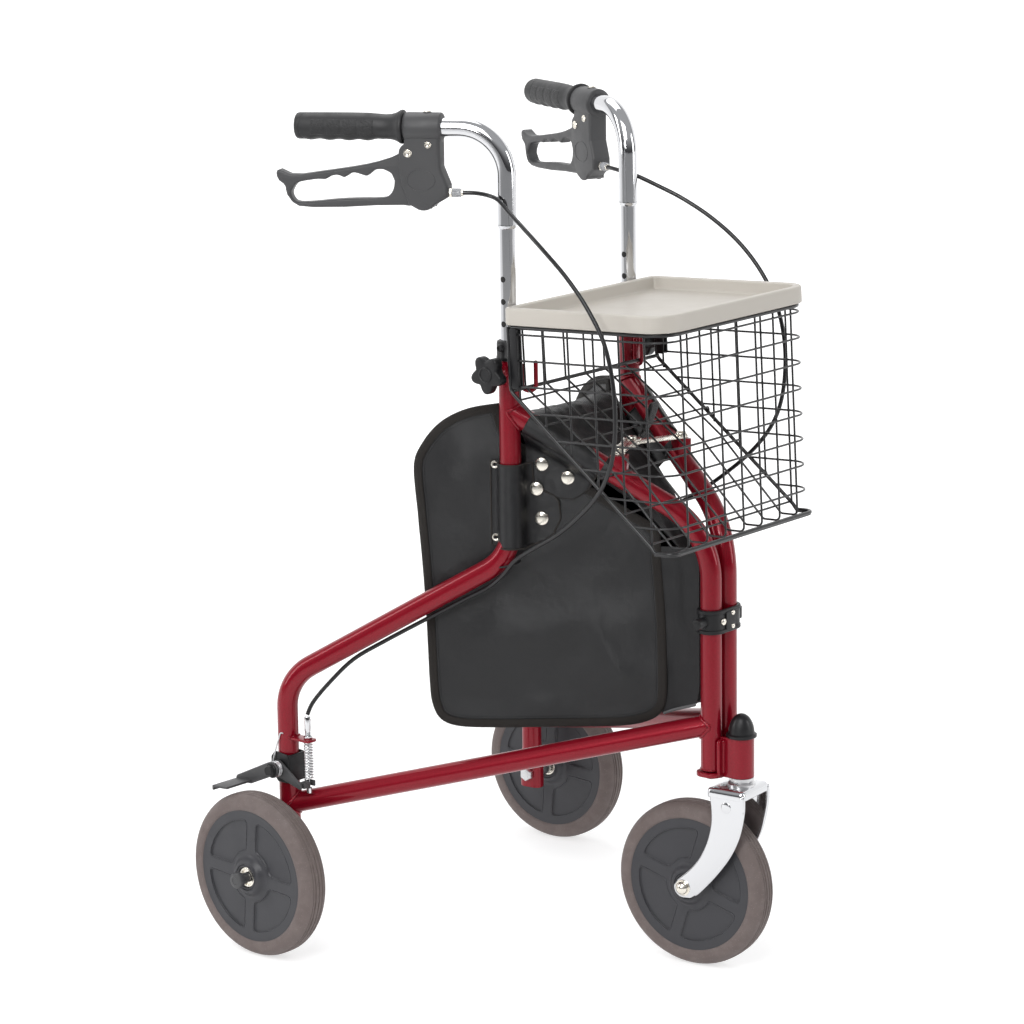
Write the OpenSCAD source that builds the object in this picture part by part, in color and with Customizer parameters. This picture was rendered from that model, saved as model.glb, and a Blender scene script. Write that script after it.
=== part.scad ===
// Three-wheel folding walker: two bent-tube side frames that swing on a front head
// bracket, a castering front wheel, braked rear wheels, sliding handles, a lift-off
// wire basket with a tray, and a fabric bag between the frames.
// +Z is up, -Y is forward, +X is the user's left. The origin is on the floor.

/* [Wheels] */
// Tyre diameter of all three wheels
wheel_d = 200; // [190:1:205]
// Tyre width
tyre_w = 36; // [30:1:38]
// Diameter of the hub disc that the tyre sits on
hub_d = 161; // [150:1:164]
// Axle diameter
axle_d = 10; // [8:0.5:12]
// Distance of each rear wheel's middle plane from the centre
rear_wheel_x = 289; // [285:1:296]
// How far each rear wheel turns in towards its back
wheel_toe = 2.7; // [0:0.1:4]

/* [Frame tubes] */
// Outside diameter of the painted frame tubes
tube_d = 25; // [24:0.5:26]
// Wall thickness of the painted frame tubes
tube_wall = 1.5; // [1.2:0.1:2]
// Angle of each side frame from straight back, when open
splay = 25.2; // [24:0.1:26]
// Distance of each column tube's axis from the centre
col_x = 15; // [14.5:0.5:16]
// Distance of the handle post from the column, along the side frame
post_r = 236; // [230:1:240]
// Distance of the rear leg from the column, along the side frame
leg_r = 515; // [505:1:525]
// Height of the top of the handle post
post_top = 726; // [716:1:730]
// Height of the corner where the post turns into the sloping tube
slope_top = 490; // [480:1:500]
// Angle of the sloping tube below level
slope_angle = 30; // [28:0.5:31]
// Height where the upper tube meets the post
stub_z = 664; // [660:1:668]
// Height of the corner where the upper tube turns down into the column
column_corner_z = 530; // [526:1:532]
// Bend radius of the main tube
main_bend = 60; // [50:1:70]
// Bend radius at the top of the column
column_bend = 100; // [80:1:110]

/* [Head and caster] */
// Height of the bottom of the column tubes
column_bottom = 245; // [242:1:248]
// Distance of the caster's swivel axis ahead of the columns
head_offset = 32; // [31:1:34]
// Trail of the caster wheel behind its swivel axis
trail = 62; // [55:1:66]
// How far the caster is turned at rest
caster_turn = 5; // [0:1:10]

/* [Handles] */
// Outside diameter of the handle's lower, sliding part
inner_d = 19; // [18:0.5:19.5]
// Outside diameter of the handle's upper part
handle_d = 22; // [21:0.5:22.5]
// Height of the grip's axis
grip_z = 991; // [985:1:995]
// Height where the handle tube steps from thin to thick
step_z = 877; // [872:1:885]
// Diameter of the grip
grip_d = 31; // [29:1:33]
// Distance between the height adjustment holes
hole_pitch = 26; // [25:0.5:27]

/* [Basket and tray] */
// Half of the basket's width
basket_x = 142; // [140:0.5:143]
// Depth of the basket from back to front
basket_depth = 226; // [220:1:228]
// Angle that the basket tips up towards the front
basket_tilt = 2.5; // [2:0.1:3]
// Height of the tray's edge
tray_h = 20; // [18:1:24]

/* [Hidden] */
$fn = 48;

red = [0.56, 0.05, 0.13];
black = [0.08, 0.08, 0.09];
dark_grey = [0.25, 0.25, 0.26];
chrome = [0.8, 0.8, 0.82];
steel = [0.62, 0.62, 0.65];

left = 1;
right = -1;
run = 0.05;            // radial clearance of a running fit
gap = 0.3;             // clearance between parts that only pass each other
bore_d = tube_d - 2 * tube_wall;
seam = 0.02;           // hairline left between the pieces of a welded or bent tube
bolt_d = 6;

column_y = -250;       // the columns, so that the origin is under the middle of the walker
head_y = column_y - head_offset;
leg_x = col_x + leg_r * sin(splay);
leg_y = column_y + leg_r * cos(splay);
post_x = col_x + post_r * sin(splay);
post_y = column_y + post_r * cos(splay);
upper_angle = atan2(stub_z - column_corner_z, post_r);
slope_bottom = slope_top - (leg_r - post_r) * tan(slope_angle);
wheel_r = wheel_d / 2;
brake_pin_d = 8;
hub_half = 24;         // half of the hub boss's length
hub_face = 16;         // half of the hub disc's thickness
bearing_d = 26;

// Head and caster heights
head_low = 238;
head_high = 286;
head_d = 30;
head_bore = 26;
stem_d = 12;
crown_z = 228;
fork_x = 27;           // inner face of each fork arm
fork_t = 4;
plate_top = column_bottom - 1.5;
pin_d = 12;
clamp_z = 424;
clamp_h = 28;

// Side frame
knob_z = 712;
nut_x = 22;            // outer face of the nut welded on the post
collar_h = 21;
lower_front_z = 299;
lower_rear_z = 174;
leg_block = [18, 31, 46];
leg_block_z = 82;
link_r = 107;          // brace bolt along the side frame
link_z = 616;
link_t = 3;
pin_reach = 27;        // how far the brace's middle pin lies behind its end bolts
link_x = col_x + link_r * sin(splay);
link_y = column_y + link_r * cos(splay);
link_len = norm([link_x, pin_reach]);
link_angle = atan2(pin_reach, link_x);

// Brake at the rear wheel
brake_z = 222;
arm_in = 16.3;         // inner face of the brake arm, outboard of the leg's axis
arm_w = 14;
wire_y = -33;          // brake wire ahead of the leg
tab_z = 257;

// Handle and brake lever, as [distance along the side frame, height]
handle_end_r = 480;
handle_bottom = 632;
handle_bend = 65;
grip_r = [355.3, 484];
clamp_r = [310, 355];
lever_pivot = [349, 962];
housing_rivet = [325, 972];
adjuster_z = 916;
lever_half = 7.5;

// Basket, in a frame at the middle of its rear top edge
basket_top = [0, column_y + 197, 769];
basket_wall = 3;
basket_corner = 30;

// Brake cable of the left side, from the lever housing down to the rear leg
cable_d = 5;
cable_route = [
  [138, 12, 916], [131, -3, 916], [128, -20, 914], [131, -37, 910], [141, -60, 899],
  [152, -90, 884], [161, -125, 863], [166, -160, 837], [168, -190, 806], [168, -213, 770],
  [168, -225, 730], [167, -228, 690], [164, -224, 650], [159, -212, 618], [151, -190, 588],
  [143, -158, 559], [136, -120, 531], [131, -82, 509], [129, -52, 490], [129, -32, 469],
  [130, -12, 453], [141, 15, 437], [160, 57, 411], [182, 105, 381], [199, 140, 357],
  [215, 165, 328], [229, 179, 305], [235.8, 183, 290]
];
cable_steps = 3;

// ---- Helpers ----

function unit(v) = v / norm(v);
function bend_angle(p, i) =
  let (u = p[i] - p[i - 1], v = p[i + 1] - p[i]) atan2(u.x * v.y - u.y * v.x, u * v);
function trim(p, i, r) = i == 0 || i == len(p) - 1 ? 0 : r * tan(abs(bend_angle(p, i)) / 2);
function lengthen(p, e) = [
  for (i = [0 : len(p) - 1])
    i == 0 ? p[0] - e * unit(p[1] - p[0]) :
    i == len(p) - 1 ? p[i] + e * unit(p[i] - p[i - 1]) : p[i]
];
function arc(c, r, a, b, n = 8) =
  [for (i = [0 : n]) c + r * [cos(a + (b - a) * i / n), sin(a + (b - a) * i / n)]];

// A round bar along a flat path of [along, up] points, with its corners bent to radius r.
// With a bore it is a tube. Its straights stand a hair off its bends.
module bar(p, d, r = 0, bore = 0, seam = 0) {
  last = len(p) - 2;
  rotate([90, 0, 90]) {
    for (i = [0 : last]) {
      u = unit(p[i + 1] - p[i]);
      from = p[i] + u * (trim(p, i, r) + (i == 0 ? 0 : seam));
      to = p[i + 1] - u * (trim(p, i + 1, r) + (i == last ? 0 : seam));
      translate([from.x, from.y, 0]) rotate([0, 90, atan2(u.y, u.x)])
        straight(norm(to - from), d, bore);
    }
    for (i = [1 : 1 : last]) {
      u = unit(p[i] - p[i - 1]);
      turn = bend_angle(p, i);
      hand = turn > 0 ? 1 : -1;
      centre = p[i] - u * trim(p, i, r) + hand * r * [-u.y, u.x];
      start = atan2(u.y, u.x) + (turn > 0 ? -90 : 90 + turn);
      translate([centre.x, centre.y, 0]) rotate([0, 0, start])
        rotate_extrude(angle = abs(turn)) translate([r, 0]) section(d, bore);
    }
  }
}

module section(d, bore) {
  difference() {
    circle(d = d);
    if (bore > 0) circle(d = bore);
  }
}

module straight(h, d, bore) {
  difference() {
    cylinder(h = h, d = d);
    if (bore > 0) translate([0, 0, -1]) cylinder(h = h + 2, d = bore);
  }
}

module frame_tube(p, r = 0) {
  bar(p, tube_d, r, bore_d, seam);
}

module ring(h, d, bore) {
  difference() {
    cylinder(h = h, d = d);
    translate([0, 0, -1]) cylinder(h = h + 2, d = bore);
  }
}

// A domed bolt head standing on z = 0
module dome_head(d, h) {
  rotate_extrude() polygon(concat([[0, 0], [d / 2, 0]],
    [for (a = [15 : 15 : 90]) [d / 2 * cos(a), h * sin(a)]]));
}

// Along +X from the origin
module along_x() {
  rotate([0, 90, 0]) children();
}

module mirrored(s) {
  if (s < 0) mirror([1, 0, 0]) children();
  else children();
}

// Side frame place: origin at the column, +Y along the frame, +X outboard
module side(s) {
  mirrored(s) translate([col_x, column_y, 0]) rotate([0, 0, -splay]) children();
}

// Places at the post, square to the walker, and at the rear leg, in line with its wheel
module at_post(s) {
  mirrored(s) translate([post_x, post_y, 0]) children();
}

module at_leg(s) {
  mirrored(s) translate([leg_x, leg_y, 0]) rotate([0, 0, wheel_toe]) children();
}

module at_caster() {
  translate([0, head_y, 0]) rotate([0, 0, caster_turn]) children();
}

module at_basket() {
  translate(basket_top) rotate([-basket_tilt, 0, 0]) children();
}

// ---- Head ----

module head_bracket() {
  color(red) difference() {
    union() {
      translate([-32, column_y - 17, head_low]) cube([64, 33, plate_top - head_low]);
      translate([-24, column_y - 17.5, head_low]) cube([48, 4, head_high - head_low]);
      translate([0, head_y, head_low]) cylinder(h = head_high - head_low, d = head_d);
      for (x = [-15, 12]) {
        translate([x, head_y, head_low]) cube([3, head_offset - 14, head_high - head_low]);
      }
    }
    translate([0, head_y, head_low - 1]) cylinder(h = head_high - head_low + 2, d = head_bore);
    for (x = [-col_x, col_x]) {
      translate([x, column_y, head_low - 1]) cylinder(h = 10, d = pin_d);
    }
  }
}

module head_cap() {
  color(black) translate([0, head_y, head_high]) difference() {
    rotate_extrude() polygon(concat([[0, 0], [18, 0], [18, 4]],
      [for (a = [0 : 10 : 90]) [15.5 * cos(a), 5 + 23 * sin(a)]]));
    translate([0, 0, -1]) cylinder(h = 21, d = 23);
  }
}

module head_bushes() {
  color(dark_grey) for (z = [head_low, head_high - 12]) {
    translate([0, head_y, z]) ring(12, head_bore, stem_d + 2 * run);
  }
}

module column_clamp() {
  color(black) difference() {
    union() {
      translate([-33, column_y - 17, clamp_z - clamp_h / 2]) cube([66, 34, clamp_h]);
      translate([-46, column_y, clamp_z]) along_x() cylinder(h = 14, d = 13);
      translate([32, column_y - 5, clamp_z - 7]) cube([8, 10, 14]);
    }
    for (x = [-col_x, col_x]) {
      translate([x, column_y, clamp_z - clamp_h]) cylinder(h = 2 * clamp_h, d = tube_d + 2 * run);
    }
  }
}

module clamp_screws() {
  color(chrome) for (p = [[-14, 0], [14, -7], [14, 7]]) {
    translate([p.x, column_y - 17, clamp_z + p.y]) rotate([90, 0, 0]) dome_head(8, 2.5);
  }
}

module pivot_pins() {
  color(steel) for (x = [-col_x, col_x]) {
    translate([x, column_y, head_low]) cylinder(h = 38, d = pin_d);
    translate([x, column_y, head_low]) mirror([0, 0, 1]) dome_head(18, 5);
  }
}

// ---- Caster ----

module fork_arm() {
  outline = concat(
    [[-20, crown_z], [-20, 207], [-12, 172], [2, 143], [22, 114]],
    arc([trail, wheel_r], 12.5, 225, 395),
    [[57, 117], [46, 127], [33, 147], [26, 168], [23, 190], [26, 210], [31, crown_z]]);
  rotate([90, 0, 90]) linear_extrude(fork_t) polygon(outline);
}

module caster_fork() {
  color(chrome) at_caster() difference() {
    union() {
      for (s = [left, right]) mirrored(s) translate([fork_x, 0, 0]) fork_arm();
      translate([-fork_x - fork_t, -20, crown_z - 5]) cube([2 * (fork_x + fork_t), 51, 5]);
    }
    translate([-50, trail, wheel_r]) along_x() cylinder(h = 100, d = axle_d);
    translate([0, 0, crown_z - 10]) cylinder(h = 20, d = stem_d);
  }
}

module caster_stem() {
  color(steel) at_caster() {
    translate([0, 0, crown_z - 8]) cylinder(h = 82, d = stem_d);
    translate([0, 0, crown_z]) cylinder(h = head_low - crown_z - gap, d = 33);
    translate([0, 0, head_high + 1]) cylinder(h = 9, d = 19);
  }
}

module front_axle() {
  half = fork_x + fork_t;
  color(steel) at_caster() translate([0, trail, wheel_r]) {
    translate([-half, 0, 0]) along_x() cylinder(h = 2 * half, d = axle_d);
    for (s = [left, right]) {
      mirrored(s) translate([half, 0, 0]) along_x() dome_head(20, 8);
      mirrored(s) translate([hub_half + gap, 0, 0]) along_x()
        ring(fork_x - hub_half - gap, 16, axle_d);
    }
  }
}

// ---- Wheel parts, with the axle along X through the origin ----

module tyre() {
  half = tyre_w / 2;
  groove = 1.6;
  bead = hub_d / 2 + 3.5;
  right_side = concat(
    [[hub_d / 2, 0], [hub_d / 2, half - 2]],
    [for (a = [90 : -15 : 30])
      [bead + (wheel_r - bead) * pow(cos(a), 0.8), half * pow(sin(a), 0.8)]],
    [[wheel_r, 6.5], [wheel_r - groove, 6], [wheel_r - groove, 4], [wheel_r, 3.5],
     [wheel_r, 1.2], [wheel_r - groove, 0.8], [wheel_r - groove, 0]]);
  color([0.36, 0.32, 0.3]) along_x() for (m = [0, 1]) {
    mirror([0, 0, m]) rotate_extrude($fn = 96) polygon(right_side);
  }
}

module hub() {
  color(dark_grey) along_x() difference() {
    union() {
      translate([0, 0, -hub_face]) cylinder(h = 2 * hub_face, d = hub_d, $fn = 96);
      translate([0, 0, -hub_half]) cylinder(h = 2 * hub_half, d = 40);
    }
    for (m = [0, 1]) {
      mirror([0, 0, m]) translate([0, 0, 12]) difference() {
        cylinder(h = 20, d = hub_d - 22);
        translate([0, 0, -1]) cylinder(h = 22, d = 62);
      }
    }
    translate([0, 0, -hub_half - 1]) cylinder(h = 2 * hub_half + 2, d = bearing_d);
  }
}

module bearings() {
  color(steel) along_x() for (z = [-hub_half, hub_half - 8]) {
    translate([0, 0, z]) ring(8, bearing_d, axle_d + 2 * run);
  }
}

module at_front_wheel() {
  at_caster() translate([0, trail, wheel_r]) children();
}

module at_rear_wheel(s) {
  at_leg(s) translate([rear_wheel_x - leg_x, 0, wheel_r]) children();
}

// ---- Side frame ----

module main_tube(s) {
  path = [[post_r, post_top], [post_r, slope_top], [leg_r, slope_bottom], [leg_r, 128 + seam]];
  color(red) difference() {
    union() {
      side(s) frame_tube(path, main_bend);
      at_post(s) translate([tube_d / 2 - 1, 0, knob_z]) along_x()
        cylinder(h = nut_x - tube_d / 2 + 1, d = 12);
      at_leg(s) translate([-leg_block.x / 2, -leg_block.y / 2, leg_block_z]) cube(leg_block);
      at_leg(s) translate([-8, wire_y - 8, tab_z]) cube([16, 29.4, 3]);
      side(s) hook();
    }
    at_post(s) translate([0, 0, knob_z]) along_x() cylinder(h = 60, d = 8 + 2 * run);
    at_leg(s) translate([0, wire_y, tab_z - 1]) cylinder(h = 5, d = 4);
    at_leg(s) translate([-50, 0, wheel_r]) along_x() cylinder(h = 100, d = axle_d);
    at_leg(s) translate([-50, 0, brake_z]) along_x() cylinder(h = 100, d = brake_pin_d);
  }
}

// The hook on the front of the post that holds the basket's rear bottom wire
module hook() {
  d = 5;
  reach = 20;
  from = post_r - tube_d / 2 + 1;
  translate([0, from, 690]) rotate([90, 0, 0]) cylinder(h = reach, d = d);
  translate([0, from - reach, 690]) sphere(d = d);
  translate([0, from - reach, 690]) cylinder(h = 31, d = d);
}

module column_tube(s) {
  top = [post_r - 1.5, stub_z - 1.5 * tan(upper_angle)];
  path = [top, [0, column_corner_z], [0, column_bottom + 30 + seam]];
  color(red) side(s) {
    difference() {
      frame_tube(path, column_bend);
      translate([0, post_r, stub_z - 60]) cylinder(h = 120, d = tube_d + 2 * seam);
    }
    translate([0, 0, column_bottom]) ring(30, tube_d, pin_d + 2 * run);
    difference() {
      translate([-9, link_r - 10, link_z - gap - 18]) cube([18, 20, 18]);
      bar([[0, column_corner_z], top], tube_d + 2 * seam);
      translate([0, link_r, link_z - 20]) cylinder(h = 30, d = bolt_d + 2 * run);
    }
  }
}

module lower_tube(s) {
  color(red) side(s) difference() {
    frame_tube([[0, lower_front_z], [leg_r, lower_rear_z]]);
    translate([0, 0, lower_front_z - 50]) cylinder(h = 100, d = tube_d + 2 * seam);
    translate([0, leg_r, lower_rear_z - 50]) cylinder(h = 100, d = tube_d + 2 * seam);
  }
}

module post_bush(s) {
  color(black) at_post(s) difference() {
    union() {
      translate([0, 0, post_top - 36]) cylinder(h = 36, d = tube_d - 2 * tube_wall);
      translate([0, 0, post_top]) cylinder(h = collar_h, d = 29);
      translate([12, 0, post_top + 13]) along_x() cylinder(h = 6, d = 9);
    }
    translate([0, 0, post_top - 40]) cylinder(h = 80, d = inner_d + 2 * run);
    translate([0, 0, knob_z]) along_x() cylinder(h = 60, d = 9);
  }
}

module height_knob(s) {
  color(black) at_post(s) translate([0, 0, knob_z]) along_x() {
    translate([0, 0, inner_d / 2 + 1]) cylinder(h = 24, d = 8);
    translate([0, 0, nut_x + gap]) cylinder(h = 10, d = 20);
    translate([0, 0, 31]) cylinder(h = 14, d = 32);
    for (a = [0 : 72 : 359]) {
      rotate([0, 0, a]) translate([17, 0, 31]) cylinder(h = 13, d = 13);
    }
  }
}

module rear_axle(s) {
  outer = rear_wheel_x + hub_half + 11 - leg_x;
  inner = rear_wheel_x - hub_half - gap - leg_x;
  color(steel) at_leg(s) translate([0, 0, wheel_r]) {
    translate([-leg_block.x / 2 - 9, 0, 0]) along_x() cylinder(h = outer + leg_block.x / 2 + 9, d = axle_d);
    translate([outer, 0, 0]) along_x() dome_head(20, 7);
    translate([-leg_block.x / 2 - 8, 0, 0]) along_x() cylinder(h = 8, d = 17, $fn = 6);
    translate([leg_block.x / 2, 0, 0]) along_x() ring(inner - leg_block.x / 2, 18, axle_d);
  }
}

// ---- Rear brake ----

module brake_bracket(s) {
  color(black) at_leg(s) {
    difference() {
      translate([-14, -15, brake_z - 18]) cube([29.8, 30, 36]);
      translate([0, 0, brake_z - 19]) cylinder(h = 38, d = tube_d);
      translate([-50, 0, brake_z]) along_x() cylinder(h = 100, d = brake_pin_d);
    }
    translate([-15, 0, brake_z]) along_x() cylinder(h = 15 + arm_in + arm_w + gap, d = brake_pin_d);
    translate([arm_in + arm_w + gap, 0, brake_z]) along_x() dome_head(17, 6);
    translate([-14, 0, brake_z]) mirror([1, 0, 0]) along_x() cylinder(h = 7, d = 14, $fn = 6);
  }
}

module brake_arm(s) {
  color(steel) at_leg(s) difference() {
    union() {
      translate([arm_in, 0, brake_z]) along_x() cylinder(h = arm_w, d = 20);
      translate([arm_in, 0, 0]) bar_plate([[4, brake_z + 8], [62, brake_z - 18], [62, brake_z - 25],
        [34, brake_z - 23], [0, brake_z - 10], [-6, brake_z - 8], [wire_y - 6, brake_z - 21],
        [wire_y - 6, brake_z - 13], [-8, brake_z + 4]], 8);
      translate([arm_in, 36, brake_z - 24]) cube([rear_wheel_x - leg_x + 15 - arm_in, 26, 6]);
      translate([-6, wire_y - 5, brake_z - 21]) cube([arm_in + 8, 9, 8]);
    }
    translate([0, 0, brake_z]) along_x() cylinder(h = 60, d = brake_pin_d + 2 * run);
    translate([0, wire_y, brake_z - 30]) cylinder(h = 30, d = 6);
  }
}

// A flat plate of thickness t, standing on edge along the frame, from an [along, up] outline
module bar_plate(outline, t) {
  rotate([90, 0, 90]) linear_extrude(t) polygon(outline);
}

module cable_fittings(s) {
  color(chrome) at_leg(s) translate([0, wire_y, 0]) {
    translate([0, 0, tab_z + 3]) cylinder(h = 9, d = 10);
    translate([0, 0, tab_z + 12]) cylinder(h = 19, d = 7.5);
    translate([0, 0, brake_z - 26]) cylinder(h = tab_z + 3 - brake_z + 26, d = 2);
    translate([0, 0, brake_z - 29]) cylinder(h = 7, d = 7);
  }
}

module brake_spring(s) {
  low = brake_z - 13;
  color(steel) at_leg(s) translate([0, wire_y, low + gap]) ring(tab_z - low - 2 * gap, 12, 9);
}

// ---- Brake cable ----

function catmull(p, i, t) =
  let (
    a = p[max(i - 1, 0)], b = p[i], c = p[i + 1], d = p[min(i + 2, len(p) - 1)]
  )
  0.5 * (2 * b + (c - a) * t + (2 * a - 5 * b + 4 * c - d) * t * t
    + (3 * b - a - 3 * c + d) * t * t * t);
function smooth_route(p, n) = concat(
  [for (i = [0 : len(p) - 2]) for (k = [0 : n - 1]) catmull(p, i, k / n)], [p[len(p) - 1]]);

// A round cable swept along a route, with its rings kept level with the route's own turn
module cable(route, d, sides = 8) {
  n = len(route);
  tangents = [for (i = [0 : n - 1]) unit(route[min(i + 1, n - 1)] - route[max(i - 1, 0)])];
  across = [for (t = tangents) unit(cross(t, [0.55, -0.83, 0.1]))];
  points = [for (i = [0 : n - 1]) for (k = [0 : sides - 1])
    route[i] + d / 2 * (cos(360 * k / sides) * across[i]
      + sin(360 * k / sides) * cross(tangents[i], across[i]))];
  walls = [for (i = [0 : n - 2]) for (k = [0 : sides - 1])
    let (a = i * sides + k, b = i * sides + (k + 1) % sides) [a, a + sides, b + sides, b]];
  ends = [[for (k = [0 : sides - 1]) k], [for (k = [sides - 1 : -1 : 0]) (n - 1) * sides + k]];
  polyhedron(points, concat(walls, ends));
}

module brake_cable(s) {
  color(black) mirrored(s) cable(smooth_route(cable_route, cable_steps), cable_d);
}

// ---- Handle ----

module handle_tube(s) {
  thick = [[post_r, step_z], [post_r, grip_z], [handle_end_r, grip_z]];
  color(chrome) difference() {
    side(s) union() {
      translate([0, post_r, handle_bottom]) cylinder(h = step_z - handle_bottom + 1, d = inner_d);
      bar(thick, handle_d, handle_bend);
    }
    side(s) bar(lengthen([[post_r, handle_bottom], [post_r, grip_z], [handle_end_r, grip_z]], 1),
      15, handle_bend);
    for (i = [-3 : 4]) {
      at_post(s) translate([-20, 0, knob_z + i * hole_pitch + 2]) along_x() cylinder(h = 40, d = 7);
    }
  }
}

module grip(s) {
  color(black) side(s) translate([0, 0, grip_z]) rotate([-90, 0, 0]) difference() {
    union() {
      translate([0, 0, grip_r[0]]) cylinder(h = grip_r[1] - grip_r[0], d = grip_d);
      translate([0, 0, grip_r[0]]) cylinder(h = 5, d = 40);
    }
    translate([0, 0, grip_r[0] - 1]) cylinder(h = handle_end_r - grip_r[0] + 1, d = handle_d);
  }
}

module lever_housing(s) {
  shield = concat([[clamp_r[0], grip_z - 6], [clamp_r[0], 945], [302, 924], [302, 910]],
    arc([332, 913], 17, 215, 290, 4), [[350, 904], [361, 935]],
    arc(lever_pivot, 11, -20, 60, 4), [[clamp_r[1], grip_z - 6]]);
  color(dark_grey) side(s) difference() {
    union() {
      translate([-12, 0, 0]) bar_plate(shield, 24);
      translate([0, clamp_r[0], grip_z]) rotate([-90, 0, 0])
        cylinder(h = clamp_r[1] - clamp_r[0], d = 34);
      translate([0, 328, grip_z + 14]) cylinder(h = 5, d = 9);
      bar([[303, adjuster_z], [289, adjuster_z]], 11);
    }
    bar([[clamp_r[0] - 1, grip_z], [clamp_r[1] + 1, grip_z]], handle_d);
    translate([-lever_half - gap, 0, 0]) bar_plate([[318, 962], [325, 880], [380, 880], [380, 978],
      [336, 978]], 2 * (lever_half + gap));
    bar([[280, adjuster_z], [292, adjuster_z]], cable_d + 0.4);
    translate([-50, lever_pivot.x, lever_pivot.y]) along_x() cylinder(h = 100, d = bolt_d);
    translate([-50, housing_rivet.x, housing_rivet.y]) along_x() cylinder(h = 100, d = 4);
  }
}

module lever_pins(s) {
  color(steel) side(s) {
    translate([-12.5, lever_pivot.x, lever_pivot.y]) along_x() cylinder(h = 25, d = bolt_d);
    translate([-12.5, housing_rivet.x, housing_rivet.y]) along_x() cylinder(h = 25, d = 4);
    for (m = [0, 1]) {
      mirror([m, 0, 0]) translate([12, lever_pivot.x, lever_pivot.y]) along_x() dome_head(9, 2.5);
      mirror([m, 0, 0]) translate([12, housing_rivet.x, housing_rivet.y]) along_x() dome_head(7, 2);
    }
  }
}

module brake_lever(s) {
  outline = concat(arc(lever_pivot, 8.5, 200, 75, 6),
    [[371, 957], [387, 952], [415, 946], [440, 942], [479, 936], [492, 936], [499, 940]],
    arc([503, 935.5], 5, 100, -40, 5),
    [[498, 921], [497, 912], [490, 902], [482, 898], [465, 897], [426, 898], [388, 900], [346, 901]],
    arc([347, 912], 9, 250, 170, 4));
  hole = concat(arc([377, 930], 10, 180, 120, 3), [[381, 942], [389, 942], [399, 936], [420, 936],
    [440, 934], [479, 927]], arc([481, 912.5], 10, 60, -80, 5), [[464, 904], [435, 907], [407, 909],
    [388, 909]], arc([377, 919], 10, 250, 180, 3));
  color(dark_grey) side(s) difference() {
    translate([-lever_half, 0, 0]) bar_plate(outline, 2 * lever_half);
    translate([-lever_half - 1, 0, 0]) bar_plate(hole, 2 * lever_half + 2);
    translate([-50, lever_pivot.x, lever_pivot.y]) along_x() cylinder(h = 100, d = bolt_d + 2 * run);
  }
}

// ---- Folding brace ----

// One link of the brace, from the bolt at the origin along -X
module link_plate(hole_d, z) {
  difference() {
    union() {
      translate([0, 0, z]) cylinder(h = link_t, d = 16);
      translate([-link_len, 0, z]) cylinder(h = link_t, d = 22);
      translate([-link_len, -8, z]) cube([link_len, 16, link_t]);
    }
    translate([-link_len, 0, z - 1]) cylinder(h = link_t + 2, d = hole_d);
  }
}

module at_link(s) {
  mirrored(s) translate([link_x, link_y, 0]) rotate([0, 0, -link_angle]) children();
}

module brace_link(s) {
  z = s > 0 ? link_z : link_z + link_t + gap;
  color(chrome) at_link(s) {
    if (s > 0) {
      link_plate(bolt_d, z);
      translate([-link_len, 0, z - 3]) cylinder(h = 12, d = bolt_d);
      translate([-link_len, 0, z - 4]) cylinder(h = 4, d = 12);
    } else {
      link_plate(bolt_d + 9, z);
      translate([0, 0, link_z]) cylinder(h = link_t + gap, d = 14);
    }
    translate([0, 0, link_z - 6]) cylinder(h = z + link_t - link_z + 6, d = bolt_d);
    translate([0, 0, z + link_t]) dome_head(13, 5);
  }
}

module pull_strap() {
  base = link_z + 2 * link_t + 2 * gap;
  color(black) at_link(left) translate([-link_len, 0, 0]) rotate([0, 0, link_angle]) {
    translate([0, 0, base]) ring(3, 16, bolt_d);
    hull() {
      translate([-4, -9, base + 1]) cube([8, 3, 2]);
      translate([-8, -24, base + 42]) cube([16, 3, 2]);
    }
  }
}

// ---- Basket and tray ----

// Plan outline with round corners, grown outwards by e
function plan(e, x = basket_x, depth = basket_depth) =
  let (c = basket_corner, r = basket_corner + e)
  concat(
    arc([x - c, -depth + c], r, 270, 360), arc([x - 10, -10], 10 + e, 0, 90),
    arc([-x + 10, -10], 10 + e, 90, 180), arc([-x + c, -depth + c], r, 180, 270));

// Side outline of the basket, shrunk inwards by e, standing up to height top
function basket_profile(e, top) = [
  [-e, top], [-e, -78 + 0.4 * e], [-194 + 0.2 * e, -243 + 1.2 * e], [-198, -251 + e],
  [-basket_depth + e, -251 + e], [-basket_depth + e, top]
];

module basket_block(e, top) {
  intersection() {
    translate([-basket_x - 5, 0, 0]) bar_plate(basket_profile(e, top), 2 * basket_x + 10);
    translate([0, 0, -260]) linear_extrude(260 + top) polygon(plan(-e));
  }
}

module basket() {
  color(black) at_basket() difference() {
    basket_block(0, 0);
    basket_block(basket_wall, 10);
    // The open grid round the frame's hooks, the brace and its strap
    translate([-112, -124, -210]) cube([224, 136, 172]);
  }
}

module basket_brackets() {
  color(black) at_basket() for (s = [left, right]) {
    mirrored(s) translate([basket_x, -16, -72]) cube([3, 8, 68]);
  }
}

module tray() {
  color([0.75, 0.71, 0.67]) at_basket() translate([0, 0, gap]) difference() {
    linear_extrude(tray_h) polygon(plan(3.5));
    translate([0, 0, 5]) linear_extrude(tray_h) polygon(plan(-7));
  }
}

// ---- Bag ----

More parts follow.
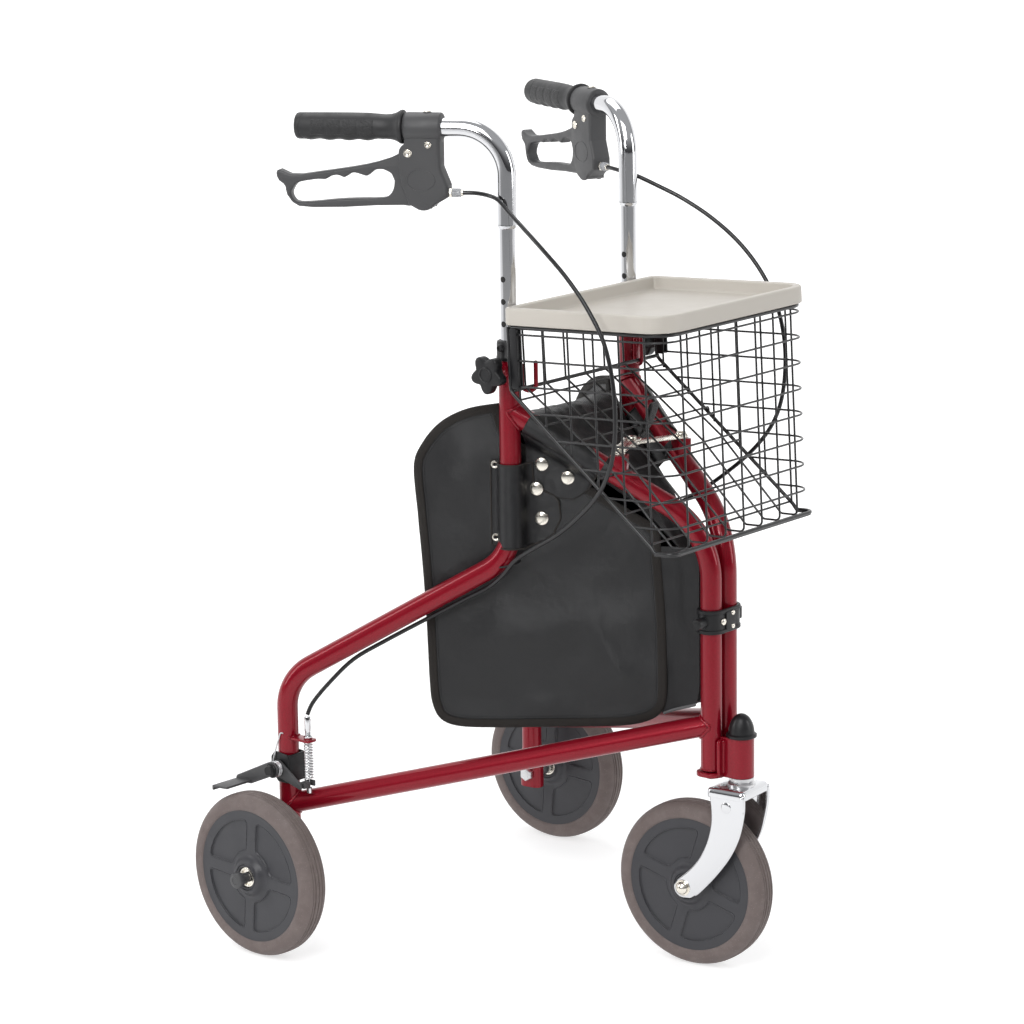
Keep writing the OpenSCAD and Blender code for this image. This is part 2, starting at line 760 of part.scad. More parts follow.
module bag_panel(s) {
  outline = concat(
    [[57, 318]], arc([82, 318], 25, 190, 262, 4), [[215, 280]],
    arc([308, 309], 33, 265, 345, 5), [[348, 467], [359, 590]],
    arc([300, 604], 59, -5, 95, 7), [[254, 666], [254, 640], [210, 612], [64, 528]]);
  color(black) side(s) {
    translate([-17.5, 0, 0]) bar_plate(outline, 3);
    difference() {
      translate([0, post_r, 527]) cylinder(h = 71, d = 29);
      translate([0, post_r, 500]) cylinder(h = 110, d = tube_d + 2 * gap);
      translate([-40, post_r - 60, 480]) cube([25, 120, 140]);
    }
  }
}

module bag_pouch() {
  front = column_y + 62;
  rear = column_y + 296;
  color(black) intersection() {
    translate([0, 0, 290]) linear_extrude(400) polygon([
      [20, front], [128, rear], [-128, rear], [-20, front]]);
    translate([-150, 0, 0]) bar_plate([
      [front, 296], [rear, 290], [rear, 600], [rear - 40, 640], [column_y + 215, 655],
      [column_y + 175, 600], [front, 520]], 300);
  }
}

head_bracket();
head_cap();
head_bushes();
column_clamp();
clamp_screws();
pivot_pins();
caster_fork();
caster_stem();
front_axle();
at_front_wheel() tyre();  // front_tyre
at_front_wheel() hub();  // front_hub
at_front_wheel() bearings();  // front_bearings
main_tube(left);  // left_main_tube
column_tube(left);  // left_column_tube
lower_tube(left);  // left_lower_tube
post_bush(left);  // left_post_bush
brake_bracket(left);  // left_brake_bracket
rear_axle(left);  // left_rear_axle
brake_cable(left);  // left_brake_cable
cable_fittings(left);  // left_cable_fittings
brake_spring(left);  // left_brake_spring
at_rear_wheel(left) tyre();  // left_rear_tyre
at_rear_wheel(left) hub();  // left_rear_hub
at_rear_wheel(left) bearings();  // left_rear_bearings
brake_arm(left);  // left_brake_arm
handle_tube(left);  // left_handle_tube
grip(left);  // left_grip
lever_housing(left);  // left_lever_housing
lever_pins(left);  // left_lever_pins
brake_lever(left);  // left_brake_lever
height_knob(left);  // left_height_knob
bag_panel(left);  // left_bag_panel
brace_link(left);  // left_brace_link
pull_strap();
main_tube(right);  // right_main_tube
column_tube(right);  // right_column_tube
lower_tube(right);  // right_lower_tube
post_bush(right);  // right_post_bush
brake_bracket(right);  // right_brake_bracket
rear_axle(right);  // right_rear_axle
brake_cable(right);  // right_brake_cable
cable_fittings(right);  // right_cable_fittings
brake_spring(right);  // right_brake_spring
at_rear_wheel(right) tyre();  // right_rear_tyre
at_rear_wheel(right) hub();  // right_rear_hub
at_rear_wheel(right) bearings();  // right_rear_bearings
brake_arm(right);  // right_brake_arm
handle_tube(right);  // right_handle_tube
grip(right);  // right_grip
lever_housing(right);  // right_lever_housing
lever_pins(right);  // right_lever_pins
brake_lever(right);  // right_brake_lever
height_knob(right);  // right_height_knob
bag_panel(right);  // right_bag_panel
brace_link(right);  // right_brace_link
basket();
basket_brackets();
tray();
bag_pouch();
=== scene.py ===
import math

import bmesh
import bpy
from mathutils import Matrix, Vector, noise


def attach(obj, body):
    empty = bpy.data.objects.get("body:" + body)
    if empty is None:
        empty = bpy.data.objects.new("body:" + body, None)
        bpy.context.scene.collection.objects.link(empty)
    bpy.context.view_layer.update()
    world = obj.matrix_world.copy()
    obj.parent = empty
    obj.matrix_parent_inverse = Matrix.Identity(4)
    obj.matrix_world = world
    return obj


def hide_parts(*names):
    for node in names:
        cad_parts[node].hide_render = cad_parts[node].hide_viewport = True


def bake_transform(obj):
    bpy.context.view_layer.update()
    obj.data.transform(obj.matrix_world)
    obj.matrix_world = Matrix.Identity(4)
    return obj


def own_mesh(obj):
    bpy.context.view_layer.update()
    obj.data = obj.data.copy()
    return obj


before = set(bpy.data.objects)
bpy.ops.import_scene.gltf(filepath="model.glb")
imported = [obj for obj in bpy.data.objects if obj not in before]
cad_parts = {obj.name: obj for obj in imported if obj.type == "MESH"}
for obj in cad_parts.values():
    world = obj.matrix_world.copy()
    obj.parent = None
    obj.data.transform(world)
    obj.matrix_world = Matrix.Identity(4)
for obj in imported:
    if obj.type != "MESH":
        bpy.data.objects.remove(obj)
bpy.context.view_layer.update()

MM = 0.001

# ---- Driving dimensions, the same as the frame's ----

WHEEL_R = 100
TYRE_W = 36
AXLE_R = 5
HUB_FACE = 16.4
POCKET_IN = 31.5
POCKET_OUT = 69.5
POCKET_CORNER = 6.0
POCKET_DEPTH = 2.0
HALF_RIB = 7.6
HUB_R = 80.5
REAR_WHEEL_X = 289
WHEEL_TOE = math.radians(2.7)
TUBE_R = 12.5
SPLAY = math.radians(25.2)
COL_X = 15
COL_Y = -250
POST_R = 236
LEG_R = 515
POST_TOP = 726
SLOPE_TOP = 490
SLOPE_BOTTOM = SLOPE_TOP - (LEG_R - POST_R) * math.tan(math.radians(30))
LEG_BOTTOM = 82
FOOT_Z = 134
LOWER_FRONT_Z = 299
LOWER_REAR_Z = 174
STUB_Z = 664
CORNER_Z = 530
MAIN_BEND = 60
COLUMN_BEND = 100
COLUMN_BOTTOM = 245
HEAD_Y = COL_Y - 32
HEAD_LOW = 238
HEAD_HIGH = 286
CROWN_Z = 228
TRAIL = 62
CASTER_TURN = math.radians(5)
FORK_X = 27
FORK_T = 4
CLAMP_Z = 424
KNOB_Z = 712
STEP_Z = 877
GRIP_Z = 991
HANDLE_R = 11
INNER_R = 9.5
HANDLE_END = 480
HANDLE_BOTTOM = 632
HANDLE_BEND = 65
GRIP_TO = 484
HOLE_PITCH = 26
CLAMP_SCREW_Y = 328
SHELL_HALF = 12
LEVER_PIVOT = (349, 962)
HOUSING_RIVET = (325, 972)
ADJUSTER_Z = 916
BRAKE_Z = 222
ARM_IN = 16.3
ARM_W = 14
WIRE_Y = -33
TAB_Z = 257
LINK_R = 107
LINK_Z = 616
PIN_REACH = 27
BASKET_X = 142
BASKET_DEPTH = 226
BASKET_TILT = math.radians(2.5)
BASKET_TOP = (0, COL_Y + 197, 769)

LEG_X = COL_X + LEG_R * math.sin(SPLAY)
LEG_Y = COL_Y + LEG_R * math.cos(SPLAY)
POST_X = COL_X + POST_R * math.sin(SPLAY)
POST_Y = COL_Y + POST_R * math.cos(SPLAY)
LINK_X = COL_X + LINK_R * math.sin(SPLAY)
LINK_Y = COL_Y + LINK_R * math.cos(SPLAY)
LINK_LEN = math.hypot(LINK_X, PIN_REACH)
LINK_ANGLE = math.atan2(PIN_REACH, LINK_X)
UPPER_SLOPE = (STUB_Z - CORNER_Z) / POST_R
LOWER_SLOPE = (LOWER_REAR_Z - LOWER_FRONT_Z) / LEG_R

LEFT = 1
RIGHT = -1
SIDES = ((LEFT, "left"), (RIGHT, "right"))

# The direction the walker is looked at from, which the floor is turned to as well
VIEW_YAW = math.radians(51.21)

# ---- Places ----

# Each of these turns a piece's +Z to the direction it is named after
ALONG_X = Matrix.Rotation(math.pi / 2, 4, "Y")
ALONG_Y = Matrix.Rotation(-math.pi / 2, 4, "X")
AGAINST_X = Matrix.Rotation(-math.pi / 2, 4, "Y")
FORWARD = Matrix.Rotation(math.pi / 2, 4, "X")
DOWN = Matrix.Rotation(math.pi, 4, "X")
# A plate drawn as (along, up) with its thickness outboard
PLATE = Matrix(((0, 0, 1, 0), (1, 0, 0, 0), (0, 1, 0, 0), (0, 0, 0, 1)))


def move(x, y, z):
    return Matrix.Translation((x, y, z))


def turn_z(angle):
    return Matrix.Rotation(angle, 4, "Z")


def mirrored(s):
    return Matrix.Diagonal((s, 1, 1, 1))


def side(s):
    """Origin at the column, +Y along the side frame and +X outboard."""
    return mirrored(s) @ move(COL_X, COL_Y, 0) @ turn_z(-SPLAY)


def at_post(s):
    """Origin on the ground under the post, square to the walker."""
    return mirrored(s) @ move(POST_X, POST_Y, 0)


def at_leg(s):
    """Origin on the ground under the leg, turned as the rear wheel is."""
    return mirrored(s) @ move(LEG_X, LEG_Y, 0) @ turn_z(WHEEL_TOE)


def at_caster():
    return move(0, HEAD_Y, 0) @ turn_z(CASTER_TURN)


def at_front_wheel():
    return at_caster() @ move(0, TRAIL, WHEEL_R)


def at_rear_wheel(s):
    return at_leg(s) @ move(REAR_WHEEL_X - LEG_X, 0, WHEEL_R)


def at_basket():
    return move(*BASKET_TOP) @ Matrix.Rotation(-BASKET_TILT, 4, "X")


def at_link(s):
    """Origin at the link's outer pin, with +X along the link and outboard."""
    return mirrored(s) @ move(LINK_X, LINK_Y, 0) @ turn_z(-LINK_ANGLE)


# ---- Forms: each returns points, faces and, for some, texture coordinates ----


def smooth(t):
    """Eases from 0 to 1 as t goes from 0 to 1."""
    t = max(0.0, min(1.0, t))
    return t * t * (3 - 2 * t)


def lerp(a, b, t):
    """The value t of the way from a to b."""
    return a + (b - a) * t


def angles(steps):
    """Directions spaced evenly round a full turn."""
    return [2 * math.pi * k / steps for k in range(steps)]


def keep_sign(value, power):
    """A power that keeps the sign, which squares off a round section."""
    return math.copysign(abs(value) ** power, value)


def catmull(points, steps):
    """A smooth line through the points."""
    p = [Vector(q) for q in points]
    line = []
    for i in range(len(p) - 1):
        a, b, c, d = p[max(i - 1, 0)], p[i], p[i + 1], p[min(i + 2, len(p) - 1)]
        for k in range(steps):
            t = k / steps
            line.append(0.5 * (2 * b + (c - a) * t + (2 * a - 5 * b + 4 * c - d) * t * t
                               + (3 * b - a - 3 * c + d) * t ** 3))
    return line + [p[-1]]


def rounded(points, radius, steps=8):
    """A line through the points with each corner bent to the radius."""
    p = [Vector(q) for q in points]
    line = [p[0]]
    for a, b, c in zip(p, p[1:], p[2:]):
        u = (a - b).normalized()
        w = (c - b).normalized()
        turn = math.pi - u.angle(w)
        if turn < 0.01:
            line.append(b)
            continue
        r = min(radius, 0.49 * min((a - b).length, (c - b).length) / math.tan(turn / 2))
        start = b + u * r * math.tan(turn / 2)
        centre = b + (u + w).normalized() * r / math.cos(turn / 2)
        out = (start - centre) / r
        for k in range(steps + 1):
            angle = turn * k / steps
            line.append(centre + r * (out * math.cos(angle) - u * math.sin(angle)))
    return line + [p[-1]]


def arc(centre, radius, start, end, steps=8):
    """Points in a plane, with the angles in degrees."""
    points = []
    for k in range(steps + 1):
        angle = math.radians(lerp(start, end, k / steps))
        points.append((centre[0] + radius * math.cos(angle), centre[1] + radius * math.sin(angle)))
    return points


def in_side(points, off=0):
    """Points given as (along the frame, height) as points in the side frame."""
    return [Vector((off, r, z)) for r, z in points]


def frames(line, closed=False):
    """Two directions across the line at each of its points, turning as little as they can."""
    n = len(line)
    tangents = []
    for i in range(n):
        before = line[i - 1] if closed or i else line[0]
        after = line[(i + 1) % n] if closed or i < n - 1 else line[-1]
        tangents.append((after - before).normalized())
    up = Vector((0, 0, 1)) if abs(tangents[0].z) < 0.9 else Vector((1, 0, 0))
    across = tangents[0].cross(up).normalized()
    result = []
    for t in tangents:
        across = (across - t * across.dot(t)).normalized()
        result.append((across, t.cross(across)))
    return result


def grid_faces(rows, columns, wrap=False, closed=False):
    """Four-sided faces over rows of points. wrap joins the columns' ends and closed joins the rows'."""
    faces = []
    for i in range(rows if closed else rows - 1):
        for k in range(columns if wrap else columns - 1):
            a, b = i * columns, ((i + 1) % rows) * columns
            m = (k + 1) % columns
            faces.append((a + k, b + k, b + m, a + m))
    return faces


def tube(line, radius, sides=24, closed=False, ends="flat"):
    """A round bar along a line. radius is one number or one for each point."""
    line = [Vector(p) for p in line]
    radii = list(radius) if hasattr(radius, "__len__") else [radius] * len(line)
    if not closed and ends == "round":
        head = (line[0] - line[1]).normalized()
        tail = (line[-1] - line[-2]).normalized()
        caps = [(k, math.radians(90 - 22.5 * k)) for k in (0.05, 1, 2, 3)]
        before = [line[0] + head * radii[0] * math.sin(a) for _, a in caps]
        after = [line[-1] + tail * radii[-1] * math.sin(a) for _, a in caps]
        radii = ([radii[0] * math.cos(a) for _, a in caps] + radii
                 + [radii[-1] * math.cos(a) for _, a in reversed(caps)])
        line = before + line + after[::-1]
    points = []
    for p, r, (across, up) in zip(line, radii, frames(line, closed)):
        points += [p + r * (across * math.cos(a) + up * math.sin(a)) for a in angles(sides)]
    faces = grid_faces(len(line), sides, True, closed)
    if not closed:
        faces.append(tuple(range(sides)))
        faces.append(tuple(range((len(line) - 1) * sides, len(line) * sides))[::-1])
    return points, faces


def lathe(profile, sides=64):
    """A turned piece round Z from (radius, height) points, run from bottom to top."""
    points, rings = [], []
    for r, z in profile:
        if r < 1e-6:
            rings.append([len(points)])
            points.append(Vector((0, 0, z)))
        else:
            rings.append(list(range(len(points), len(points) + sides)))
            points += [Vector((r * math.cos(a), r * math.sin(a), z)) for a in angles(sides)]
    faces = []
    for a, b in zip(rings, rings[1:]):
        for k in range(sides):
            m = (k + 1) % sides
            if len(a) == 1 and len(b) == 1:
                continue
            if len(a) == 1:
                faces.append((a[0], b[m], b[k]))
            elif len(b) == 1:
                faces.append((a[k], a[m], b[0]))
            else:
                faces.append((a[k], a[m], b[m], b[k]))
    return points, faces


def turned(*profile, sides=64):
    """The same, with the profile's points given one by one."""
    return lathe(profile, sides)


def torus(radius, thick, sides=48, ring=12):
    """A closed ring round Z."""
    line = [(radius * math.cos(a), radius * math.sin(a), 0) for a in angles(sides)]
    return tube(line, thick, ring, closed=True)


def slab(outline, thick, edge=0.8, holes=(), steps=3):
    """A plate with rounded edges from a flat outline, standing on its plane from 0 to thick."""
    curve = bpy.data.curves.new("outline", "CURVE")
    curve.dimensions = "2D"
    curve.fill_mode = "BOTH"
    curve.extrude = thick / 2 - edge
    curve.bevel_depth = edge
    curve.bevel_resolution = steps
    curve.offset = -edge
    for loop in (outline, *holes):
        spline = curve.splines.new("POLY")
        spline.points.add(len(loop) - 1)
        for point, (u, v) in zip(spline.points, loop):
            point.co = (u, v, 0, 1)
        spline.use_cyclic_u = True
    holder = bpy.data.objects.new("outline", curve)
    mesh = bpy.data.meshes.new_from_object(holder)
    points = [v.co + Vector((0, 0, thick / 2)) for v in mesh.vertices]
    faces = [tuple(f.vertices) for f in mesh.polygons]
    bpy.data.objects.remove(holder)
    bpy.data.curves.remove(curve)
    bpy.data.meshes.remove(mesh)
    return points, faces


def rounded_outline(points, radius, steps=5):
    """A closed flat outline with all its corners rounded."""
    p = [Vector((u, v, 0)) for u, v in points]
    loop = []
    for i in range(len(p)):
        bend = rounded([p[i - 1], p[i], p[(i + 1) % len(p)]], radius, steps)
        loop += [(q.x, q.y) for q in bend[1:-1]]
    return loop


def rectangle(left, low, right, high, radius, steps=5):
    """A closed flat rectangle with rounded corners."""
    return rounded_outline([(left, low), (right, low), (right, high), (left, high)], radius, steps)


def block(size, edge=1.0, corner=1.5):
    """A box with rounded edges, centred on the origin."""
    x, y, z = size[0] / 2, size[1] / 2, size[2]
    points, faces = slab(rectangle(-x, -y, x, y, corner), z, edge)
    return [p - Vector((0, 0, z / 2)) for p in points], faces


def loft(rings, cap=True):
    """Closed rings of equal length, one after the other."""
    n = len(rings[0])
    points = [Vector(p) for ring in rings for p in ring]
    faces = grid_faces(len(rings), n, True)
    if cap:
        faces.append(tuple(range(n)))
        faces.append(tuple(range((len(rings) - 1) * n, len(rings) * n))[::-1])
    return points, faces


def dome(radius, height, sides=40):
    """A bolt head on z = 0."""
    curve = [(radius * math.cos(math.radians(d)), height * math.sin(math.radians(d)))
             for d in (0, 8, 20, 35, 50, 65, 80)]
    return lathe([(0, -0.5), (radius, -0.5), *curve, (0, height)], sides)


def hex_nut(across, height):
    """A six-sided nut on z = 0, with turned-down corners."""
    r = across / math.sqrt(3)
    rings = []
    for shrink, z in ((0.93, 0), (1, height * 0.12), (1, height * 0.86), (0.9, height)):
        rings.append([Vector((r * shrink * math.cos(a), r * shrink * math.sin(a), z)) for a in angles(6)])
    return loft(rings)


def weld(at, along, radius, into, direction, thick=1.7):
    """The weld bead where a tube from `at` along `along` meets the tube through `into`."""
    along = along.normalized()
    direction = direction.normalized()
    e1 = along.cross(Vector((0.3, 0.5, 0.8))).normalized()
    e2 = along.cross(e1)
    line, ripple = [], []
    for angle in angles(64):
        q = at + (radius + 0.4) * (e1 * math.cos(angle) + e2 * math.sin(angle))
        flat_q = (q - into) - direction * (q - into).dot(direction)
        flat_d = along - direction * along.dot(direction)
        a, b = flat_d.dot(flat_d), 2 * flat_q.dot(flat_d)
        c = flat_q.dot(flat_q) - (TUBE_R + 0.3) ** 2
        root = math.sqrt(max(b * b - 4 * a * c, 0))
        line.append(q + along * (-b - root) / (2 * a))
        ripple.append(thick * (1 + 0.13 * math.sin(16 * angle)))
    return tube(line, ripple, 10, closed=True)


class Shape:
    """The forms of one piece, gathered in one mesh."""

    def __init__(self):
        self.points, self.faces, self.slots, self.uvs = [], [], [], []

    def add(self, form, place=Matrix(), slot=0):
        start = len(self.points)
        flip = place.determinant() < 0
        self.points += [place @ Vector(p) for p in form[0]]
        self.uvs += form[2] if len(form) > 2 else [(0, 0)] * len(form[0])
        for face in form[1]:
            face = [start + i for i in face]
            self.faces.append(face[::-1] if flip else face)
            self.slots.append(slot)
        return self


def make(name, shape, materials, body, replaces=(), sharp=38):
    """Turns a shape into a Blender piece that rides on a body."""
    mesh = bpy.data.meshes.new(name)
    mesh.from_pydata([p * MM for p in shape.points], [], shape.faces)
    for m in materials if isinstance(materials, (list, tuple)) else [materials]:
        mesh.materials.append(m)
    mesh.polygons.foreach_set("material_index", shape.slots)
    layer = mesh.uv_layers.new(name="strip")
    for loop in mesh.loops:
        layer.data[loop.index].uv = shape.uvs[loop.vertex_index]
    recalculate(mesh)
    mesh.shade_smooth()
    mesh.set_sharp_from_angle(angle=math.radians(sharp))
    obj = bpy.data.objects.new(name, mesh)
    bpy.context.scene.collection.objects.link(obj)
    if body:
        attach(obj, body)
        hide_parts(*replaces)
    return obj


def recalculate(mesh):
    """Welds doubled points and turns every face outwards."""
    work = bmesh.new()
    work.from_mesh(mesh)
    bmesh.ops.remove_doubles(work, verts=work.verts, dist=1e-6)
    bmesh.ops.recalc_face_normals(work, faces=work.faces)
    work.to_mesh(mesh)
    work.free()


# ---- Materials ----

WEAVE_TURN = 6.283
HERRINGBONE_SLANT = 9.0


def add_node(tree, kind, inputs=None, **settings):
    """A shader node with its settings made and its inputs set or joined."""
    made = tree.nodes.new("ShaderNode" + kind)
    for key, value in settings.items():
        setattr(made, key, value)
    for key, value in (inputs or {}).items():
        if isinstance(value, bpy.types.NodeSocket):
            tree.links.new(value, made.inputs[key])
        else:
            made.inputs[key].default_value = value
    return made


def maths(tree, operation, a, b=0.0):
    """The result of one sum in a material."""
    return add_node(tree, "Math", {0: a, 1: b}, operation=operation).outputs[0]


def ramp(tree, value, low, high, to_low=0.0, to_high=1.0):
    """A value eased from one range to another."""
    made = add_node(tree, "MapRange", {"Value": value, "From Min": low, "From Max": high,
                                       "To Min": to_low, "To Max": to_high},
                    interpolation_type="SMOOTHSTEP")
    return made.outputs["Result"]


def pattern(tree, place, kind, scale):
    """A pattern in space: how often it repeats is in cells per metre."""
    if kind == "noise":
        return add_node(tree, "TexNoise", {"Vector": place, "Scale": scale, "Detail": 4.0,
                                           "Roughness": 0.55}).outputs["Fac"]
    if kind == "fine":
        return add_node(tree, "TexNoise", {"Vector": place, "Scale": scale, "Detail": 1.0}).outputs["Fac"]
    if kind == "cells":
        return add_node(tree, "TexVoronoi", {"Vector": place, "Scale": scale}).outputs["Distance"]
    if kind == "leather":
        edges = add_node(tree, "TexVoronoi", {"Vector": place, "Scale": scale, "Randomness": 1.0},
                         feature="DISTANCE_TO_EDGE").outputs["Distance"]
        return ramp(tree, edges, 0.0, 0.22)
    if kind == "weave":
        parts = add_node(tree, "SeparateXYZ", {"Vector": place})
        down = maths(tree, "SINE", maths(tree, "MULTIPLY", parts.outputs["Z"], scale * WEAVE_TURN))
        run = maths(tree, "ADD", parts.outputs["X"], parts.outputs["Y"])
        over = maths(tree, "SINE", maths(tree, "MULTIPLY", run, scale * WEAVE_TURN))
        return maths(tree, "MULTIPLY", down, over)
    # A herringbone tape: the strip coordinates are across from 0 to 1 and along in millimetres
    parts = add_node(tree, "SeparateXYZ", {"Vector": add_node(tree, "UVMap", uv_map="strip").outputs[0]})
    across = maths(tree, "ABSOLUTE", maths(tree, "SUBTRACT", parts.outputs["X"], 0.5))
    slant = maths(tree, "ADD", parts.outputs["Y"], maths(tree, "MULTIPLY", across, HERRINGBONE_SLANT))
    return maths(tree, "SINE", maths(tree, "MULTIPLY", slant, scale))


def material(name, colour, rough, metal=0.0, coat=0.0, coat_rough=0.03, mottle=None, uneven=None,
             bumps=(), sheen=0.0, clear=0.0, gloss=0.5, specks=None):
    """mottle is (kind, scale, other colour, from, to), uneven is (kind, scale, other roughness),
    each bump is (kind, scale, depth), and specks is (scale, colour, how far each reaches)."""
    made = bpy.data.materials.new(name)
    made.use_nodes = True
    tree = made.node_tree
    shader = tree.nodes["Principled BSDF"]
    for key, value in (("Base Color", (*colour, 1)), ("Roughness", rough), ("Metallic", metal),
                       ("Coat Weight", coat), ("Coat Roughness", coat_rough), ("Sheen Weight", sheen),
                       ("Transmission Weight", clear), ("Specular IOR Level", gloss)):
        shader.inputs[key].default_value = value
    place = add_node(tree, "TexCoord").outputs["Object"]
    colours = None
    if mottle:
        kind, scale, other, low, high = mottle
        factor = ramp(tree, pattern(tree, place, kind, scale), low, high)
        colours = add_node(tree, "Mix", {"Factor": factor, "A": (*colour, 1), "B": (*other, 1)},
                           data_type="RGBA")
        colours = colours.outputs["Result"]
    if specks:
        scale, other, reach = specks
        factor = ramp(tree, pattern(tree, place, "cells", scale), reach, reach * 0.5)
        base = colours if colours else (*colour, 1)
        colours = add_node(tree, "Mix", {"Factor": factor, "A": base, "B": (*other, 1)}, data_type="RGBA")
        colours = colours.outputs["Result"]
    if colours:
        tree.links.new(colours, shader.inputs["Base Color"])
    if uneven:
        kind, scale, other = uneven
        value = ramp(tree, pattern(tree, place, kind, scale), 0.35, 0.7, rough, other)
        tree.links.new(value, shader.inputs["Roughness"])
    normal = None
    for kind, scale, depth in bumps:
        inputs = {"Height": pattern(tree, place, kind, scale), "Distance": depth * MM, "Strength": 1.0}
        if normal:
            inputs["Normal"] = normal
        normal = add_node(tree, "Bump", inputs).outputs["Normal"]
    if normal:
        tree.links.new(normal, shader.inputs["Normal"])
    return made


RED = material("red_paint", (0.20, 0.0010, 0.009), 0.34, metal=0.3, coat=0.45, coat_rough=0.03, gloss=0.15,
               mottle=("noise", 700, (0.235, 0.0016, 0.012), 0.4, 0.65),
               bumps=(("fine", 260, 0.02),))
CHROME = material("chrome", (0.66, 0.665, 0.68), 0.05, metal=1.0, uneven=("noise", 60, 0.1),
                  bumps=(("noise", 40, 0.03),))
STEEL = material("steel", (0.62, 0.62, 0.63), 0.27, metal=1.0, uneven=("noise", 120, 0.4),
                 bumps=(("noise", 500, 0.03),))
NICKEL = material("nickel", (0.80, 0.76, 0.68), 0.16, metal=1.0, uneven=("noise", 150, 0.3))
BLACK = material("black_plastic", (0.008, 0.008, 0.009), 0.34, gloss=0.35, uneven=("noise", 90, 0.52),
                 bumps=(("fine", 900, 0.03),))
GREY = material("grey_plastic", (0.058, 0.058, 0.060), 0.4, gloss=0.4, uneven=("noise", 60, 0.52),
                bumps=(("fine", 800, 0.03),))
SLATE = material("slate_plastic", (0.036, 0.036, 0.041), 0.38, gloss=0.4, uneven=("noise", 30, 0.5),
                 bumps=(("fine", 700, 0.035), ("noise", 9, 0.25)))
TRAY = material("tray_plastic", (0.465, 0.435, 0.39), 0.4, uneven=("noise", 25, 0.5),
                bumps=(("fine", 900, 0.03), ("noise", 8, 0.3)))
TYRE = material("tyre", (0.118, 0.092, 0.086), 0.6, uneven=("noise", 40, 0.75),
                mottle=("noise", 90, (0.138, 0.109, 0.102), 0.35, 0.7),
                bumps=(("noise", 350, 0.12),), specks=(420, (0.32, 0.27, 0.25), 0.12))
RUBBER = material("grip_rubber", (0.013, 0.013, 0.014), 0.45, uneven=("noise", 60, 0.58),
                  bumps=(("noise", 500, 0.06),))
PEBBLED = material("pebbled_rubber", (0.012, 0.012, 0.013), 0.5, bumps=(("cells", 620, -0.5),))
CABLE = material("cable_black", (0.009, 0.009, 0.010), 0.3, gloss=0.35, coat=0.15, coat_rough=0.1,
                 bumps=(("noise", 300, 0.05),))
WIRE = material("wire_black", (0.013, 0.013, 0.014), 0.36, gloss=0.4, coat=0.3, coat_rough=0.12,
                bumps=(("noise", 500, 0.04),))
VINYL = material("bag_vinyl", (0.007, 0.007, 0.008), 0.3, gloss=0.4, uneven=("noise", 20, 0.38),
                 bumps=(("weave", 900, 0.06), ("noise", 30, 0.5), ("noise", 9, 3.0)))
NYLON = material("bag_nylon", (0.011, 0.011, 0.012), 0.42, gloss=0.3, uneven=("noise", 40, 0.55), sheen=0.02,
                 bumps=(("weave", 1400, 0.05), ("noise", 35, 0.9)))
BINDING = material("bag_binding", (0.021, 0.018, 0.016), 0.7, gloss=0.25, sheen=0.05,
                   bumps=(("tape", 3.2, 0.4),))
LINING = material("bag_lining", (0.09, 0.09, 0.093), 0.7, sheen=0.1, bumps=(("weave", 1200, 0.05),))
CLEAR = material("adjuster_plastic", (0.55, 0.56, 0.58), 0.15, clear=0.35, uneven=("noise", 200, 0.3))
# Painted shade: a near-black sheet laid over each height hole in place of the shade inside it
HOLE_SHADE = material("painted_hole_shade", (0.004, 0.004, 0.004), 0.7)
WEBBING = material("webbing", (0.014, 0.014, 0.015), 0.7, sheen=0.2, bumps=(("weave", 700, 0.2),))
THREAD = material("thread", (0.022, 0.022, 0.024), 0.6)


# ---- Frame tubes ----


def collar(radius, low, high, edge=0.6):
    """A turned ring or pin with eased edges, along Z."""
    return lathe([(0, low), (radius - edge, low), (radius - edge * 0.3, low + edge * 0.3),
                  (radius, low + edge), (radius, high - edge), (radius - edge * 0.3, high - edge * 0.3),
                  (radius - edge, high), (0, high)])


UP = Vector((0, 0, 1))


